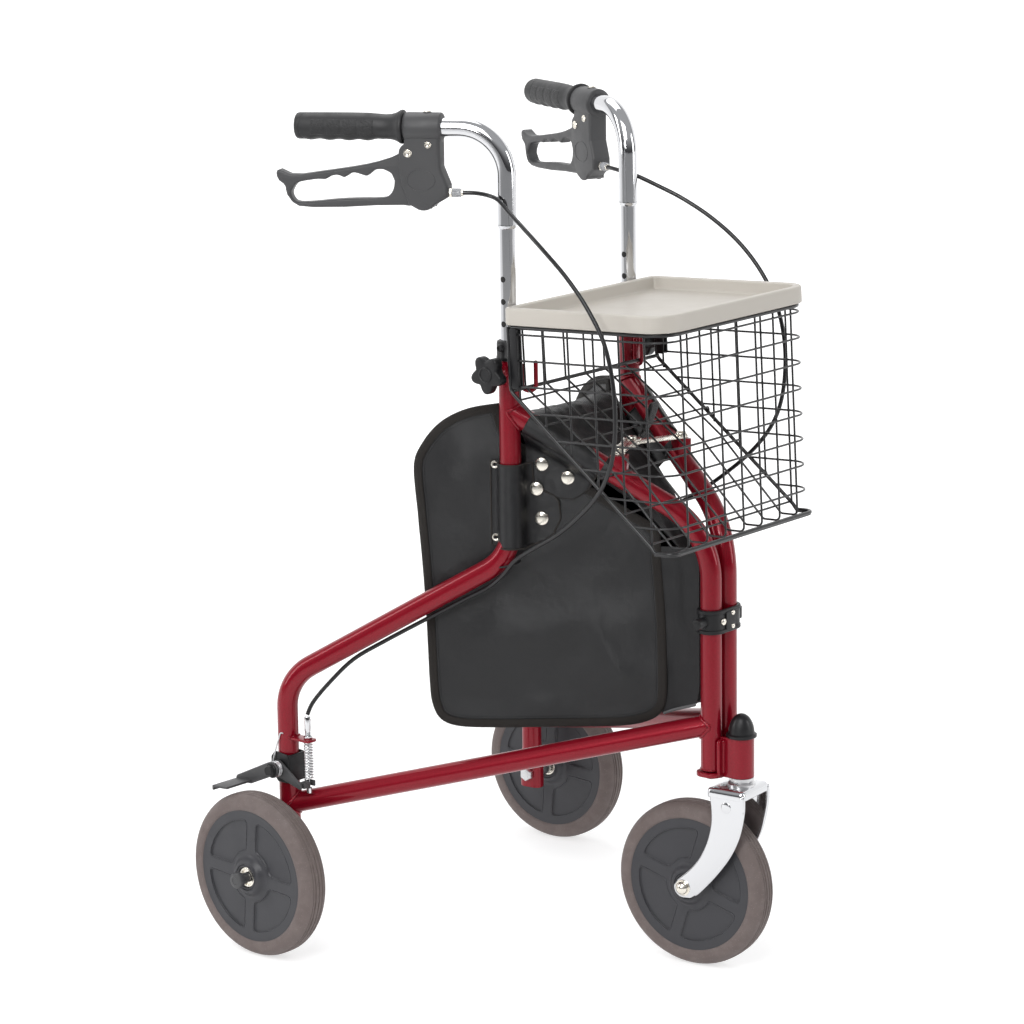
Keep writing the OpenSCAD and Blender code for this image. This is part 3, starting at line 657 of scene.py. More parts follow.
def main_tube(s, word):
    """The post, the slope and the leg in one bent tube, with what is fixed to it."""
    place = side(s)
    main = Shape()
    path = rounded(in_side([(POST_R, POST_TOP), (POST_R, SLOPE_TOP), (LEG_R, SLOPE_BOTTOM), (LEG_R, FOOT_Z)]),
                   MAIN_BEND, 12)
    main.add(tube(path, TUBE_R, 40), place)
    # The leg's foot, pressed flat round the axle: each ring is (height, how flat)
    rings = []
    for z, t in ((136, 0), (131, 0.15), (126, 0.5), (121, 0.85), (116, 1), (88, 1), (84.5, 0.97),
                 (LEG_BOTTOM, 0.86)):
        across, along = lerp(TUBE_R, 8.6, t), lerp(TUBE_R, 15.5, t)
        rings.append([Vector((across * keep_sign(math.cos(a), lerp(1, 0.55, t)),
                              along * keep_sign(math.sin(a), lerp(1, 0.8, t)), z)) for a in angles(40)])
    main.add(loft(rings), at_leg(s))
    # The nut for the height knob
    main.add(turned((0, 10), (8.2, 11.4), (6.8, 13.6), (6, 15), (6, 21.3), (5.4, 22), (0, 22), sides=32),
             at_post(s) @ move(0, 0, KNOB_Z) @ ALONG_X)
    # The tab that carries the brake cable's end
    main.add(slab(rectangle(-8, WIRE_Y - 8, 8, -9, 4), 3, 0.5), at_leg(s) @ move(0, 0, TAB_Z))
    bead = [(x, -12.2 + 0.02 * x * x, TAB_Z + 3) for x in range(-8, 9, 2)]
    main.add(tube(bead, 1.3, 8, ends="round"), at_leg(s))
    # The hook for the basket's lower wire
    hook = rounded([(0, POST_R - 15, 717), (0, POST_R - 15, 688), (0, POST_R - 31.5, 688),
                    (0, POST_R - 31.5, 721)], 7.5, 10)
    main.add(tube(hook, 2.6, 16, ends="round"), place)
    for z in (713, 704):
        bead = [(x, POST_R - 12.9, z + 0.3 * x) for x in (-2.6, 0, 2.6)]
        main.add(tube(bead, 1.5, 8, ends="round"), place)
    make(word + "_main_tube_look", main, RED, word + "_frame", [word + "_main_tube"])


def column_tube(s, word):
    """The upper tube that bends down into the column."""
    place = side(s)
    column = Shape()
    path = rounded(in_side([(POST_R - 4, STUB_Z - 4 * UPPER_SLOPE), (0, CORNER_Z), (0, COLUMN_BOTTOM)]),
                   COLUMN_BEND, 16)
    column.add(tube(path, TUBE_R, 40), place)
    column.add(weld(Vector((0, POST_R - 60, STUB_Z - 60 * UPPER_SLOPE)), Vector((0, 1, UPPER_SLOPE)), TUBE_R,
                    Vector((0, POST_R, 0)), UP), place)
    # The lug under the brace's bolt
    lug = slab(rectangle(-9, -10, 9, 10, 3), 20, 0.6)
    column.add(lug, place @ move(0, LINK_R, LINK_Z - 20.3))
    # The rolled lower edge
    column.add(torus(12.4, 1.1, 48, 10), place @ move(0, 0, COLUMN_BOTTOM + 1.1))
    make(word + "_column_tube_look", column, RED, word + "_frame", [word + "_column_tube"])


def lower_tube(s, word):
    """The lower tube from the column to the leg, with its two weld beads."""
    place = side(s)
    lower = Shape()
    line = in_side([(4, LOWER_FRONT_Z + 4 * LOWER_SLOPE), (LEG_R - 4, LOWER_REAR_Z - 4 * LOWER_SLOPE)])
    lower.add(tube(line, TUBE_R, 40), place)
    lower.add(weld(Vector((0, 60, LOWER_FRONT_Z + 60 * LOWER_SLOPE)), Vector((0, -1, -LOWER_SLOPE)), TUBE_R,
                   Vector((0, 0, 0)), UP), place)
    lower.add(weld(Vector((0, LEG_R - 60, LOWER_REAR_Z - 60 * LOWER_SLOPE)), Vector((0, 1, LOWER_SLOPE)),
                   TUBE_R, Vector((0, LEG_R, 0)), UP), place)
    make(word + "_lower_tube_look", lower, RED, word + "_frame", [word + "_lower_tube"])


def post_bush(s, word):
    """The bush in the post's top that the handle slides in, with its button."""
    bush = Shape()
    bush.add(turned((0, POST_TOP - 6), (14.1, POST_TOP - 2.4), (14.6, POST_TOP - 1.4), (14.6, POST_TOP + 2),
                    (14.2, POST_TOP + 3), (14.2, POST_TOP + 17.5), (13.4, POST_TOP + 20),
                    (11.6, POST_TOP + 21), (0, POST_TOP + 21)), at_post(s))
    bush.add(turned((0, 12), (4.5, 12), (4.5, 17), (3.8, 18), (2.2, 18.1), (1.8, 17), (0, 17), sides=32),
             at_post(s) @ move(0, 0, POST_TOP + 13) @ ALONG_X)
    make(word + "_post_bush_look", bush, BLACK, word + "_frame", [word + "_post_bush"])


# ---- Height knob ----


def height_knob(s, word):
    """The five-lobed knob that holds the handle at its height."""
    knob = Shape()
    place = at_post(s) @ move(0, 0, KNOB_Z) @ ALONG_X
    lobes = []
    for a in angles(90):
        reach = 15.8 + 7.2 * (0.5 + 0.5 * math.cos(5 * a)) ** 0.8
        lobes.append((reach * math.cos(a), reach * math.sin(a)))
    knob.add(slab(lobes, 13, 2.6, steps=4), place @ move(0, 0, 31))
    knob.add(turned((0, 22.6), (8.8, 22.6), (9.6, 23.4), (10, 26), (11.5, 29), (14, 31.5), (0, 31.5)), place)
    knob.add(turned((0, 43.2), (9.5, 43.2), (9.2, 44.6), (8.2, 45.1), (7.2, 44.4), (6.8, 42.8), (0, 42.4)),
             place)
    body = word + "_height_knob"
    make(word + "_height_knob_look", knob, BLACK, body, [word + "_height_knob"])
    screw = Shape().add(tube([(0, 0, 11), (0, 0, 24)], 4, 20), place)
    make(word + "_knob_screw_look", screw, STEEL, body)


# ---- Wheels, with the axle along X ----


def tyre_profile():
    """The tyre's section as (radius, across), with a raised tread and its grooves."""
    half = TYRE_W / 2
    bead = HUB_R + 3.5
    outer = [(HUB_R - 1, half - 2.6), (HUB_R + 0.2, half - 1.2), (HUB_R + 1.5, half - 0.25)]
    for k in range(10):
        a = math.radians(90 - 7.2 * k)
        outer.append((bead + (WHEEL_R - bead) * math.cos(a) ** 0.8, half * math.sin(a) ** 0.8))
    step = outer[-1]
    outer += [(step[0] - 0.5, step[1] - 0.45), (step[0] + 0.1, step[1] - 0.9), (99.2, 8.4), (99.7, 6.8)]
    outer += [(99.0, 6.1), (98.5, 5.7), (98.5, 4.9), (99.1, 4.5), (99.9, 4.0), (WHEEL_R, 2.4), (99.9, 1.0),
              (99.1, 0.6), (98.6, 0.25)]
    return outer + [(r, -z) for r, z in reversed(outer)]


def hub_height(r, angle, spoke):
    """How far the hub's face stands out, by radius and direction from a spoke."""
    if r > 76.5:
        return TYRE_W / 2 - 1.4 - 0.3 * smooth((r - 78.5) / 2)
    face = HUB_FACE + 7.4 * smooth((27 - r) / 9)
    a = (angle - spoke) % (math.pi / 2)
    across = min(r * math.sin(a), r * math.sin(math.pi / 2 - a)) if r else 0
    # How far inside the pocket's edges this is, with the pocket's corners rounded
    gaps = (across - HALF_RIB, POCKET_OUT - r, r - POCKET_IN)
    parts = [max(0.0, POCKET_CORNER - gap) for gap in gaps]
    inside = POCKET_CORNER - math.sqrt(sum(p * p for p in parts)) if max(parts) > 0 else min(gaps)
    return face - POCKET_DEPTH * smooth((inside + 0.2) / 0.9)


def pocket_line(spoke, face):
    """The crisp lip round one sector pocket."""
    points = []
    for r, turn in ((POCKET_IN, 1), (POCKET_OUT, -1)):
        low = math.asin(HALF_RIB / r)
        spread = [low + (math.pi / 2 - 2 * low) * k / 8 for k in range(9)]
        points += [(r * math.cos(a), r * math.sin(a)) for a in spread[::turn]]
    line = []
    for y, z in rounded_outline(points, 5.5, 8):
        a = math.atan2(z, y) + spoke
        line.append(Vector((face, math.hypot(y, z) * math.cos(a), math.hypot(y, z) * math.sin(a))))
    return tube(line, 0.55, 8, closed=True)


def tyre(name, body, place):
    shape = Shape().add(lathe(tyre_profile(), 128), place @ ALONG_X)
    make(name + "_tyre_look", shape, TYRE, body, [name + "_tyre"], sharp=50)


def hub(name, body, place, spoke):
    """A hub with four sector pockets on each face. spoke is its first rib's direction."""
    shape = Shape()
    # The rings of points lie close together where the face steps down into the pockets
    radii = [15.9, 16.4, 17.4, 18.5, 20, 21.5, 23, 25, 27, 29] + [29.5 + 0.5 * k for k in range(12)]
    radii += [36 + 1.6 * k for k in range(18)] + [64.6 + 0.5 * k for k in range(14)]
    radii += [72.5, 75, 76.5, 78.5, 80.8]
    sides = 240
    for m in (1, -1):
        points = []
        for r in radii:
            for a in angles(sides):
                points.append(Vector((m * hub_height(r, a, spoke), r * math.cos(a), r * math.sin(a))))
        shape.add((points, grid_faces(len(radii), sides, True)), place)
        for k in range(4):
            shape.add(pocket_line(spoke + k * math.pi / 2, m * (HUB_FACE - 0.15)), place)
    boss = turned((12.6, 12), (12.6, 22.6), (13, 23.2), (13.6, 23.6), (14.6, 23.8), (15.2, 23.4),
                  (15.9, 22.4), (17, 20.8), (18.2, 19.3), sides=96)
    for m in (1, -1):
        shape.add(boss, place @ mirrored(m) @ ALONG_X)
    make(name + "_hub_look", shape, SLATE, body, [name + "_hub"], sharp=60)


def bearings(name, body, place):
    race = Shape()
    for m in (1, -1):
        race.add(turned((6.2, 19.3), (9.2, 19.3), (9.4, 21.4), (9.9, 22), (11.6, 22), (12.2, 21.6),
                        (12.6, 20.8), (12.6, 12)), place @ mirrored(m) @ ALONG_X)
    make(name + "_bearing_look", race, NICKEL, body, [name + "_bearings"])


def wheel(name, body, place, spoke):
    tyre(name, body, place)
    hub(name, body, place, spoke)
    bearings(name, body, place)


def rear_axle(s, word):
    """The axle through the leg's foot, with its nut and spacer and the cap on its end."""
    place = at_leg(s) @ move(0, 0, WHEEL_R)
    reach = REAR_WHEEL_X - LEG_X
    axle = Shape()
    axle.add(tube([(-17, 0, 0), (reach + 35, 0, 0)], AXLE_R, 24), place)
    axle.add(collar(9, 9, reach - 24.3), place @ ALONG_X)
    axle.add(hex_nut(15, 7.5), place @ move(-9, 0, 0) @ AGAINST_X)
    make(word + "_rear_axle_look", axle, STEEL, word + "_frame", [word + "_rear_axle"])
    cap = Shape()
    cap.add(turned((0, 0), (5.9, 0), (6.1, 0.6), (6.1, 14), (0, 14), sides=40),
            place @ move(reach + 22, 0, 0) @ ALONG_X)
    cap.add(turned((0, 0), (9.0, 0), (9.9, 0.7), (10.1, 2), (10, 5.2), (9.1, 7.0), (6.5, 8.0), (4.4, 8.1),
                   (4.0, 7.6), (0, 7.5), sides=48), place @ move(reach + 33.7, 0, 0) @ ALONG_X)
    make(word + "_axle_cap_look", cap, GREY, word + "_frame")


# ---- Fork and head ----


def crown_ring(inset, z):
    """One level of the fork's crown, by how far it stands in from the crown's edge."""
    half_x, half_y = FORK_X + FORK_T - inset, 25.3 - inset
    outline = rectangle(-half_x, -half_y, half_x, half_y, max(1.5, 6 - inset), 8)
    return [Vector((x, y + 5.2, z)) for x, y in outline]


def fork():
    """A stamped fork: a flat crown and two curved arms with their edges turned in."""
    place = at_caster()
    # The two edges of an arm, from the crown down to the axle, as (back, height, 0)
    front = catmull([(-20.5, 222, 0), (-20.5, 206, 0), (-17, 186, 0), (-11, 166, 0), (-2, 148, 0),
                     (10, 131, 0), (25, 113, 0), (41, 96.5, 0), (52, 88.5, 0)], 5)
    rear = catmull([(26, 222, 0), (23.5, 206, 0), (23, 188, 0), (26, 170, 0), (32.5, 152, 0), (42, 135.5, 0),
                    (54, 121.5, 0), (68, 109, 0), (74.2, 102, 0)], 5)
    outline = [(p.x, p.y) for p in front]
    outline += arc((TRAIL, WHEEL_R), 12.4, 258, 357, 11)
    outline += [(p.x, p.y) for p in reversed(rear)]
    shape = Shape()
    for s in (1, -1):
        shape.add(slab(outline, 3.2, 1.3, steps=4), place @ mirrored(s) @ move(FORK_X + 0.6, 0, 0) @ PLATE)
        # The turned-in rim down both edges
        for edge in (front, rear):
            line = [Vector((FORK_X + 1.6, p.x + (1.6 if edge is front else -1.6), p.y)) for p in edge[:-4]]
            shape.add(tube(line, 2.2, 12, ends="round"), place @ mirrored(s))
    # The crown, a pressed cap with every edge turned down: each level is (inset, height)
    under = [(22, 224.6), (7, 224.6), (5, 224), (3.4, 222), (3.2, 217.4)]
    over = [(2.6, 216.8), (0.6, 216.8), (0, 217.4), (0, 222), (0.5, 224.4), (1.7, 226.5), (3.6, 227.7),
            (6, CROWN_Z), (22, CROWN_Z)]
    shape.add(loft([crown_ring(*level) for level in under + over]), place)
    for y in (-17.4, 27.4):
        shape.add(tube([(-22, y, 217.4), (22, y, 217.4)], 1.7, 10, ends="round"), place)
    # A raised round mark on each arm
    for s in (1, -1):
        shape.add(dome(6.5, 1.1), place @ mirrored(s) @ move(FORK_X + 3.9, 3, 207) @ ALONG_X)
    make("fork_look", shape, CHROME, "caster", ["caster_fork"])


def front_axle():
    """The front wheel's axle, with a washer and a domed nut outside each arm and a spacer inside it."""
    place = at_caster()
    pin = Shape()
    half = FORK_X + FORK_T
    for s in (1, -1):
        spot = place @ mirrored(s) @ move(half, TRAIL, WHEEL_R) @ ALONG_X
        pin.add(turned((0, -1), (9.6, -1), (9.8, 0.4), (9.2, 1.0), (0, 1.0), sides=48), spot)
        pin.add(turned((0, 0.8), (7.4, 0.8), (7.8, 1.6), (7.5, 3.4), (6.4, 5.2), (4.4, 6.8), (2.2, 7.7),
                       (0, 8), sides=48), spot)
        pin.add(collar(8, 24.3, FORK_X + 1), place @ mirrored(s) @ move(0, TRAIL, WHEEL_R) @ ALONG_X)
    pin.add(tube([(-half, 0, 0), (half, 0, 0)], AXLE_R, 24), at_front_wheel())
    make("front_axle_look", pin, NICKEL, "caster", ["front_axle"])


def caster_stem():
    """The stem that turns in the head tube, with its bearing cups and nut."""
    place = at_caster()
    stem = Shape()
    stem.add(turned((0, 218), (10, 218), (10, 222), (16.5, 227.5), (16.5, 230.5), (15, 232), (12, 232.6),
                    (12, 234.5), (14.6, 235.2), (14.6, 237.7), (0, 237.7)), place)
    stem.add(collar(6, 236, 292), place)
    stem.add(hex_nut(17, 9), place @ move(0, 0, HEAD_HIGH + 1))
    make("stem_look", stem, STEEL, "caster", ["caster_stem"])


def head_bracket():
    """The head tube, joined to the plate under the columns."""
    bracket = Shape()
    place = move(0, HEAD_Y, 0)
    bracket.add(turned((13, HEAD_LOW), (14.3, HEAD_LOW), (15, HEAD_LOW + 0.7), (15, HEAD_HIGH - 0.7),
                       (14.3, HEAD_HIGH), (13, HEAD_HIGH), (13, HEAD_LOW)), place)
    # The plate under the columns
    bracket.add(slab(rectangle(-31, -16.5, 31, 16, 12, 8), 5.5, 1.0), move(0, COL_Y, HEAD_LOW))
    # The web between the head tube and the columns
    web = rectangle(0, 0, 20, 48, 1.5)
    for x in (-15, 11.8):
        bracket.add(slab(web, 3.2, 0.8), move(x, HEAD_Y, HEAD_LOW) @ PLATE)
    bracket.add(slab(rectangle(-24, 0, 24, 46, 5), 4, 0.8), move(0, COL_Y - 13.5, HEAD_LOW) @ FORWARD)
    for x in (-15.6, 15.6):
        bead = [(x, COL_Y - 17.6, z) for z in range(HEAD_LOW + 7, HEAD_HIGH - 3, 4)]
        bracket.add(tube(bead, 1.7, 8, ends="round"))
    make("head_bracket_look", bracket, RED, "front", ["head_bracket"])


def head_cap():
    """The domed cap on the head tube."""
    cap = Shape()
    dome_line = [(15.2 * math.cos(math.radians(d)), 5 + 23 * math.sin(math.radians(d)))
                 for d in range(0, 90, 8)]
    cap.add(turned((0, 0.2), (17.2, 0.2), (18, 0.9), (18, 3.4), (17.3, 4.1), (16, 4.3), (15.4, 4.9),
                   *dome_line, (0, 28)), move(0, HEAD_Y, HEAD_HIGH))
    make("head_cap_look", cap, BLACK, "front", ["head_cap"])


def head_bushes():
    bushes = Shape()
    for z in (HEAD_LOW, HEAD_HIGH - 12):
        bushes.add(turned((6.1, z), (13, z), (13, z + 12), (6.1, z + 12), (6.1, z)), move(0, HEAD_Y, 0))
    make("head_bushes_look", bushes, GREY, "front", ["head_bushes"])


def clamp_ring(e, z):
    """One level of the clamp's outline round both columns, grown outwards by e."""
    loop = arc((COL_X, COL_Y), 16.8 + e, -90, 90, 16) + arc((-COL_X, COL_Y), 16.8 + e, 90, 270, 16)
    return [Vector((x, y, z)) for x, y in loop]


def column_clamp():
    """The clamp that holds the two columns side by side, with its screws."""
    clamp = Shape()
    low, high = CLAMP_Z - 14, CLAMP_Z + 14
    levels = [(-3.6, low), (-0.8, low), (0, low + 0.8), (0, low + 4.2), (-1.1, low + 5), (-1.1, high - 5),
              (0, high - 4.2), (0, high - 0.8), (-0.8, high), (-3.6, high)]
    clamp.add(loft([clamp_ring(e, z) for e, z in levels], cap=False))
    clamp.add(turned((0, -2), (6.3, -2), (6.5, 0), (6.5, 11), (5.8, 12.6), (4, 13.4), (0, 13.6), sides=40),
              move(-32, COL_Y, CLAMP_Z) @ AGAINST_X)
    clamp.add(block((10, 12, 15), 1.2, 2), move(34.5, COL_Y, CLAMP_Z))
    clamp.add(slab(rectangle(-9, -11, 9, 11, 3), 2.4, 0.6), move(0, COL_Y - 15.4, CLAMP_Z) @ FORWARD)
    make("clamp_look", clamp, BLACK, "front", ["column_clamp"])
    screws = Shape()
    for x, out, z, r in ((-13, 16.6, 0, 4.2), (4, 17.4, -8, 3), (4, 17.4, 8, 3)):
        screws.add(dome(r, 2.1), move(x, COL_Y - out, CLAMP_Z + z) @ FORWARD)
    make("clamp_screws_look", screws, NICKEL, "front", ["clamp_screws"])


def pivot_pins():
    """The pins that the columns turn on."""
    pins = Shape()
    for x in (-COL_X, COL_X):
        pins.add(collar(6, HEAD_LOW - 1, HEAD_LOW + 38), move(x, COL_Y, 0))
        pins.add(dome(9, 5), move(x, COL_Y, HEAD_LOW) @ DOWN)
    make("pivot_pins_look", pins, STEEL, "front", ["pivot_pins"])


# ---- Handles, grips and brake levers ----


def handle_tube(s, word):
    """The handle's tube, which slides in the post and bends back to the grip."""
    place = side(s)
    bar = Shape()
    bar.add(turned((7.6, HANDLE_BOTTOM), (9.1, HANDLE_BOTTOM), (INNER_R, HANDLE_BOTTOM + 0.4),
                   (INNER_R, STEP_Z - 1), (10.4, STEP_Z), (HANDLE_R, STEP_Z + 1), (HANDLE_R, STEP_Z + 4),
                   sides=48), place @ move(0, POST_R, 0))
    path = rounded(in_side([(POST_R, STEP_Z + 3), (POST_R, GRIP_Z), (HANDLE_END, GRIP_Z)]), HANDLE_BEND, 28)
    bar.add(tube(path, HANDLE_R, 48), place)
    make(word + "_handle_tube_look", bar, CHROME, word + "_handle", [word + "_handle_tube"])


def height_holes(s, word):
    """The height holes, drawn as dark rounds on the tube: painted shade where the holes are."""
    holes = Shape()
    for k in range(-3, 5):
        z = KNOB_Z + 2 + k * HOLE_PITCH
        for m in (1, -1):
            points, rings = [Vector((m * (INNER_R + 0.03), 0, z))], (1.2, 2.4, 3.2, 3.5)
            for r in rings:
                for a in angles(24):
                    y = r * math.cos(a)
                    out = math.sqrt(INNER_R ** 2 - y * y) + 0.03
                    points.append(Vector((m * out, y, z + r * math.sin(a))))
            faces = [(0, 1 + i, 1 + (i + 1) % 24) for i in range(24)]
            faces += [tuple(1 + v for v in f) for f in grid_faces(len(rings), 24, True)]
            holes.add((points, faces), at_post(s))
    make(word + "_height_holes_look", holes, HOLE_SHADE, word + "_handle")


# The grip's section: (along the frame, radius)
GRIP_LINE = [(355.4, 18.6), (356, 19.3), (357.5, 19.6), (359.5, 19.2), (362, 17.6), (365, 16.1), (370, 14.7),
             (377, 14.2), (386, 14.8), (398, 15.6), (420, 15.8), (450, 15.6), (470, 15.4), (480, 15.3),
             (482.5, 14.7), (483.6, 13.4)]


def grip_radius(y, angle):
    """The grip's radius at a place along it and a direction round it."""
    for (a, ra), (b, rb) in zip(GRIP_LINE, GRIP_LINE[1:]):
        if y <= b:
            radius = lerp(ra, rb, (y - a) / (b - a))
            break
    else:
        radius = GRIP_LINE[-1][1]
    # Finger waves on the underside, which fade out towards both ends
    below = smooth(-math.sin(angle))
    wave = math.cos((y - 398) * 2 * math.pi / 23)
    radius += 0.7 * below * wave * smooth((y - 375) / 12) * smooth((478 - y) / 12)
    # A fine slanting groove near the end
    seam = abs(y - (471 + 7 * math.cos(angle)))
    return radius - 0.5 * max(0.0, 1 - seam / 0.8)


def grip(s, word):
    """The rubber grip with its pebbled pads."""
    place = side(s) @ move(0, 0, GRIP_Z)
    body = word + "_handle"
    rubber = Shape()
    ys = [355.4, 355.6, 356, 356.7, 357.5, 358.5, 359.5, 360.7, 362, 363.5, 365, 367, 370, 373]
    ys += [377 + 2.2 * k for k in range(39)] + [462 + 0.45 * k for k in range(45)] + [482.5, 483.2, 483.6]
    sides = 72
    points = []
    for y in ys:
        for a in angles(sides):
            r = grip_radius(y, a)
            points.append(Vector((r * math.cos(a), y, r * math.sin(a))))
    points += [Vector((12.6 * math.cos(a), GRIP_TO, 12.6 * math.sin(a))) for a in angles(sides)]
    faces = grid_faces(len(ys) + 1, sides, True)
    faces.append(tuple(range(len(points) - sides, len(points)))[::-1])
    faces.append(tuple(range(sides)))
    rubber.add((points, faces), place)
    # Four pebbled pads on each side
    for m in (0, math.pi):
        for k in range(4):
            start = 389 + 19.5 * k
            points = []
            us = [0, 0.03, 0.07, 0.3, 0.5, 0.7, 0.93, 0.97, 1]
            vs = [0, 0.03, 0.06] + [0.1 + 0.08 * i for i in range(11)] + [0.94, 0.97, 1]
            for u in us:
                for v in vs:
                    y = start + 16.5 * u
                    a = m + math.radians(lerp(-36, 36, v))
                    raised = 0.45 * smooth(min(u, 1 - u) / 0.05) * smooth(min(v, 1 - v) / 0.05) - 0.1
                    r = grip_radius(y, a) + raised
                    points.append(Vector((r * math.cos(a), y, r * math.sin(a))))
            rubber.add((points, grid_faces(len(us), len(vs))), place, 1)
    make(word + "_grip_look", rubber, [RUBBER, PEBBLED], body, [word + "_grip"], sharp=50)


def lever_housing(s, word):
    """The brake lever's housing on the handle."""
    place = side(s)
    shell = Shape()
    # The front of the shield, across its whole width
    front = [(311, 986), (311, 946), (302.6, 925), (302.4, 912)] + arc((332, 913), 17, 218, 246, 4)
    front += [(319, 950), (319, 962), (336, 977), (354, 978), (354, 986)]
    shell.add(slab(rounded_outline(front, 2.5, 3), 23.9, 3.6, steps=5), place @ move(-11.95, 0, 0) @ PLATE)
    # Its two cheeks, either side of the lever
    cheek = [(314, 984), (315, 946), (306.5, 925), (306, 913)] + arc((332, 913), 17, 212, 290, 7)
    cheek += [(349, 903), (357, 925), (360.5, 945)] + arc(LEVER_PIVOT, 11.2, -15, 65, 6) + [(353.5, 984)]
    for m in (1, -1):
        shell.add(slab(rounded_outline(cheek, 3, 3), 4.2, 2.0, steps=4),
                  place @ mirrored(m) @ move(7.8, 0, 0) @ PLATE)
        # A thin raised oval
        ring = [(SHELL_HALF, 334 + 16.5 * math.cos(a), 931 + 12.2 * math.sin(a)) for a in angles(48)]
        shell.add(tube(ring, 0.5, 8, closed=True), place @ mirrored(m))
    # The clamp round the tube, with its screw
    shell.add(turned((11.1, 310.2), (15.2, 310.2), (16.4, 310.9), (17, 312.4), (17, 350.5), (16.6, 353.2),
                     (15.4, 354.7), (11.1, 354.9), sides=64), place @ move(0, 0, GRIP_Z) @ ALONG_Y)
    shell.add(turned((0, 12), (6.6, 12), (5.4, 15.6), (5.2, 17), (4.6, 17.6), (0, 17.6), sides=32),
              place @ move(0, CLAMP_SCREW_Y, GRIP_Z))
    make(word + "_housing_look", shell, GREY, word + "_handle", [word + "_lever_housing"])


def lever_pins(s, word):
    """The lever's pivot, the housing's rivet and the clamp's screw."""
    place = side(s)
    pins = Shape()
    for m in (1, -1):
        for (u, v), r in ((LEVER_PIVOT, 5.0), (HOUSING_RIVET, 4.2)):
            pins.add(turned((0, -2), (r, -2), (r, 0.9), (r - 0.5, 1.5), (r - 1.4, 1.6), (r - 1.9, 1.1),
                            (r - 2.2, 0.9), (0, 0.9), sides=40),
                     place @ mirrored(m) @ move(SHELL_HALF, u, v) @ ALONG_X)
    pins.add(tube([(-SHELL_HALF, *LEVER_PIVOT), (SHELL_HALF, *LEVER_PIVOT)], 3, 16), place)
    pins.add(turned((0, 17), (3.9, 17), (4.0, 18), (3.2, 18.9), (1.6, 19.2), (0, 19.2), sides=32),
             place @ move(0, CLAMP_SCREW_Y, GRIP_Z))
    make(word + "_lever_pins_look", pins, NICKEL, word + "_handle", [word + "_lever_pins"])


def cable_adjuster(s, word):
    """The ridged barrel that the cable leaves the housing through, and its nut."""
    body = word + "_handle"
    barrel = Shape()
    spot = side(s) @ move(0, 0, ADJUSTER_Z) @ ALONG_Y
    ridges = []
    for k in range(7):
        ridges += [(4.5, 290.2 + 1.4 * k), (5.1, 290.5 + 1.4 * k), (5.1, 291.2 + 1.4 * k),
                   (4.5, 291.5 + 1.4 * k)]
    barrel.add(turned((2.7, 289), (4.0, 289), (4.4, 289.6), *ridges, (4.5, 300.6), (2.7, 300.6), (2.7, 289),
                      sides=40), spot)
    make(word + "_adjuster_look", barrel, CLEAR, body)
    nut = Shape().add(turned((2.7, 300), (5.2, 300), (5.6, 300.5), (5.6, 304.5), (2.7, 304.5), sides=6), spot)
    nut.add(turned((2.6, 286.8), (3.4, 286.8), (3.6, 287.2), (3.6, 289.5), (2.6, 289.5), sides=32), spot)
    make(word + "_adjuster_nut_look", nut, NICKEL, body)


def lever(s, word):
    """The looped brake lever."""
    place = side(s)
    outline = arc(LEVER_PIVOT, 8.3, 205, 80, 7)
    outline += [(356, 966), (362, 960.5), (371, 956), (387, 951), (401, 947.6), (415, 945), (440, 941),
                (463.5, 937.5), (479, 935.2), (492, 935.4), (499.5, 938.6), (504, 940.6), (507.4, 939.4),
                (508.4, 936.4), (507.8, 932), (505.4, 927.6), (500, 923.8), (497.9, 920.6), (497.4, 916.6),
                (496, 911), (489.5, 902.5), (482, 898.2), (465, 897), (426, 898), (388, 900.6),
                (357, 901.4), (350, 900.6), (344, 901.6), (339.6, 905), (337.8, 911), (338.4, 930),
                (340, 948)]
    hole = [(367, 930), (370, 937), (375.5, 940.5), (381, 942.4), (389, 941.8), (394.6, 938.3),
            (399.5, 934.6), (406, 936), (413.6, 938), (419.4, 937), (426.3, 932.6), (431, 934),
            (436.7, 935), (444.4, 933), (449.3, 930), (458, 930), (467.6, 928.8), (479, 926.7), (485, 924),
            (489.4, 918), (491, 912.6), (488.4, 906.2), (481.8, 903.2), (464.4, 903.8), (435.5, 907),
            (406.7, 908.6), (387.7, 909), (376, 911), (369, 918.5)]
    hole = [(p.x, p.y) for p in catmull([(u, v, 0) for u, v in hole + hole[:3]], 3)][3:-6]
    loop = Shape().add(slab(outline, 15, 2.6, [hole], steps=4), place @ move(-7.5, 0, 0) @ PLATE)
    make(word + "_lever_look", loop, GREY, word + "_brake_lever", [word + "_brake_lever"],
         sharp=45)


# The left cable's centre line, in the walker's own axes
CABLE_ROUTE = [(138, 12, 916), (131, -3, 916), (128, -20, 914), (131, -37, 910), (141, -60, 899),
               (152, -90, 884), (161, -125, 863), (166, -160, 837), (168, -190, 806), (168, -213, 770),
               (168, -225, 730), (167, -228, 690), (164, -224, 650), (159, -212, 618), (151, -190, 588),
               (143, -158, 559), (136, -120, 531), (131, -82, 509), (129, -52, 490), (129, -32, 469),
               (130, -12, 453), (141, 15, 437), (160, 57, 411), (182, 105, 381), (199, 140, 357),
               (215, 165, 328), (229, 179, 305), (235.8, 183, 290)]


def cable(s, word):
    """The brake cable from the lever's adjuster to the tab on the leg."""
    line = catmull(CABLE_ROUTE, 8)
    casing = Shape().add(tube(line, 2.5, 16), mirrored(s))
    obj = make(word + "_cable_look", casing, CABLE, None)
    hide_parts(word + "_brake_cable")
    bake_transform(obj)


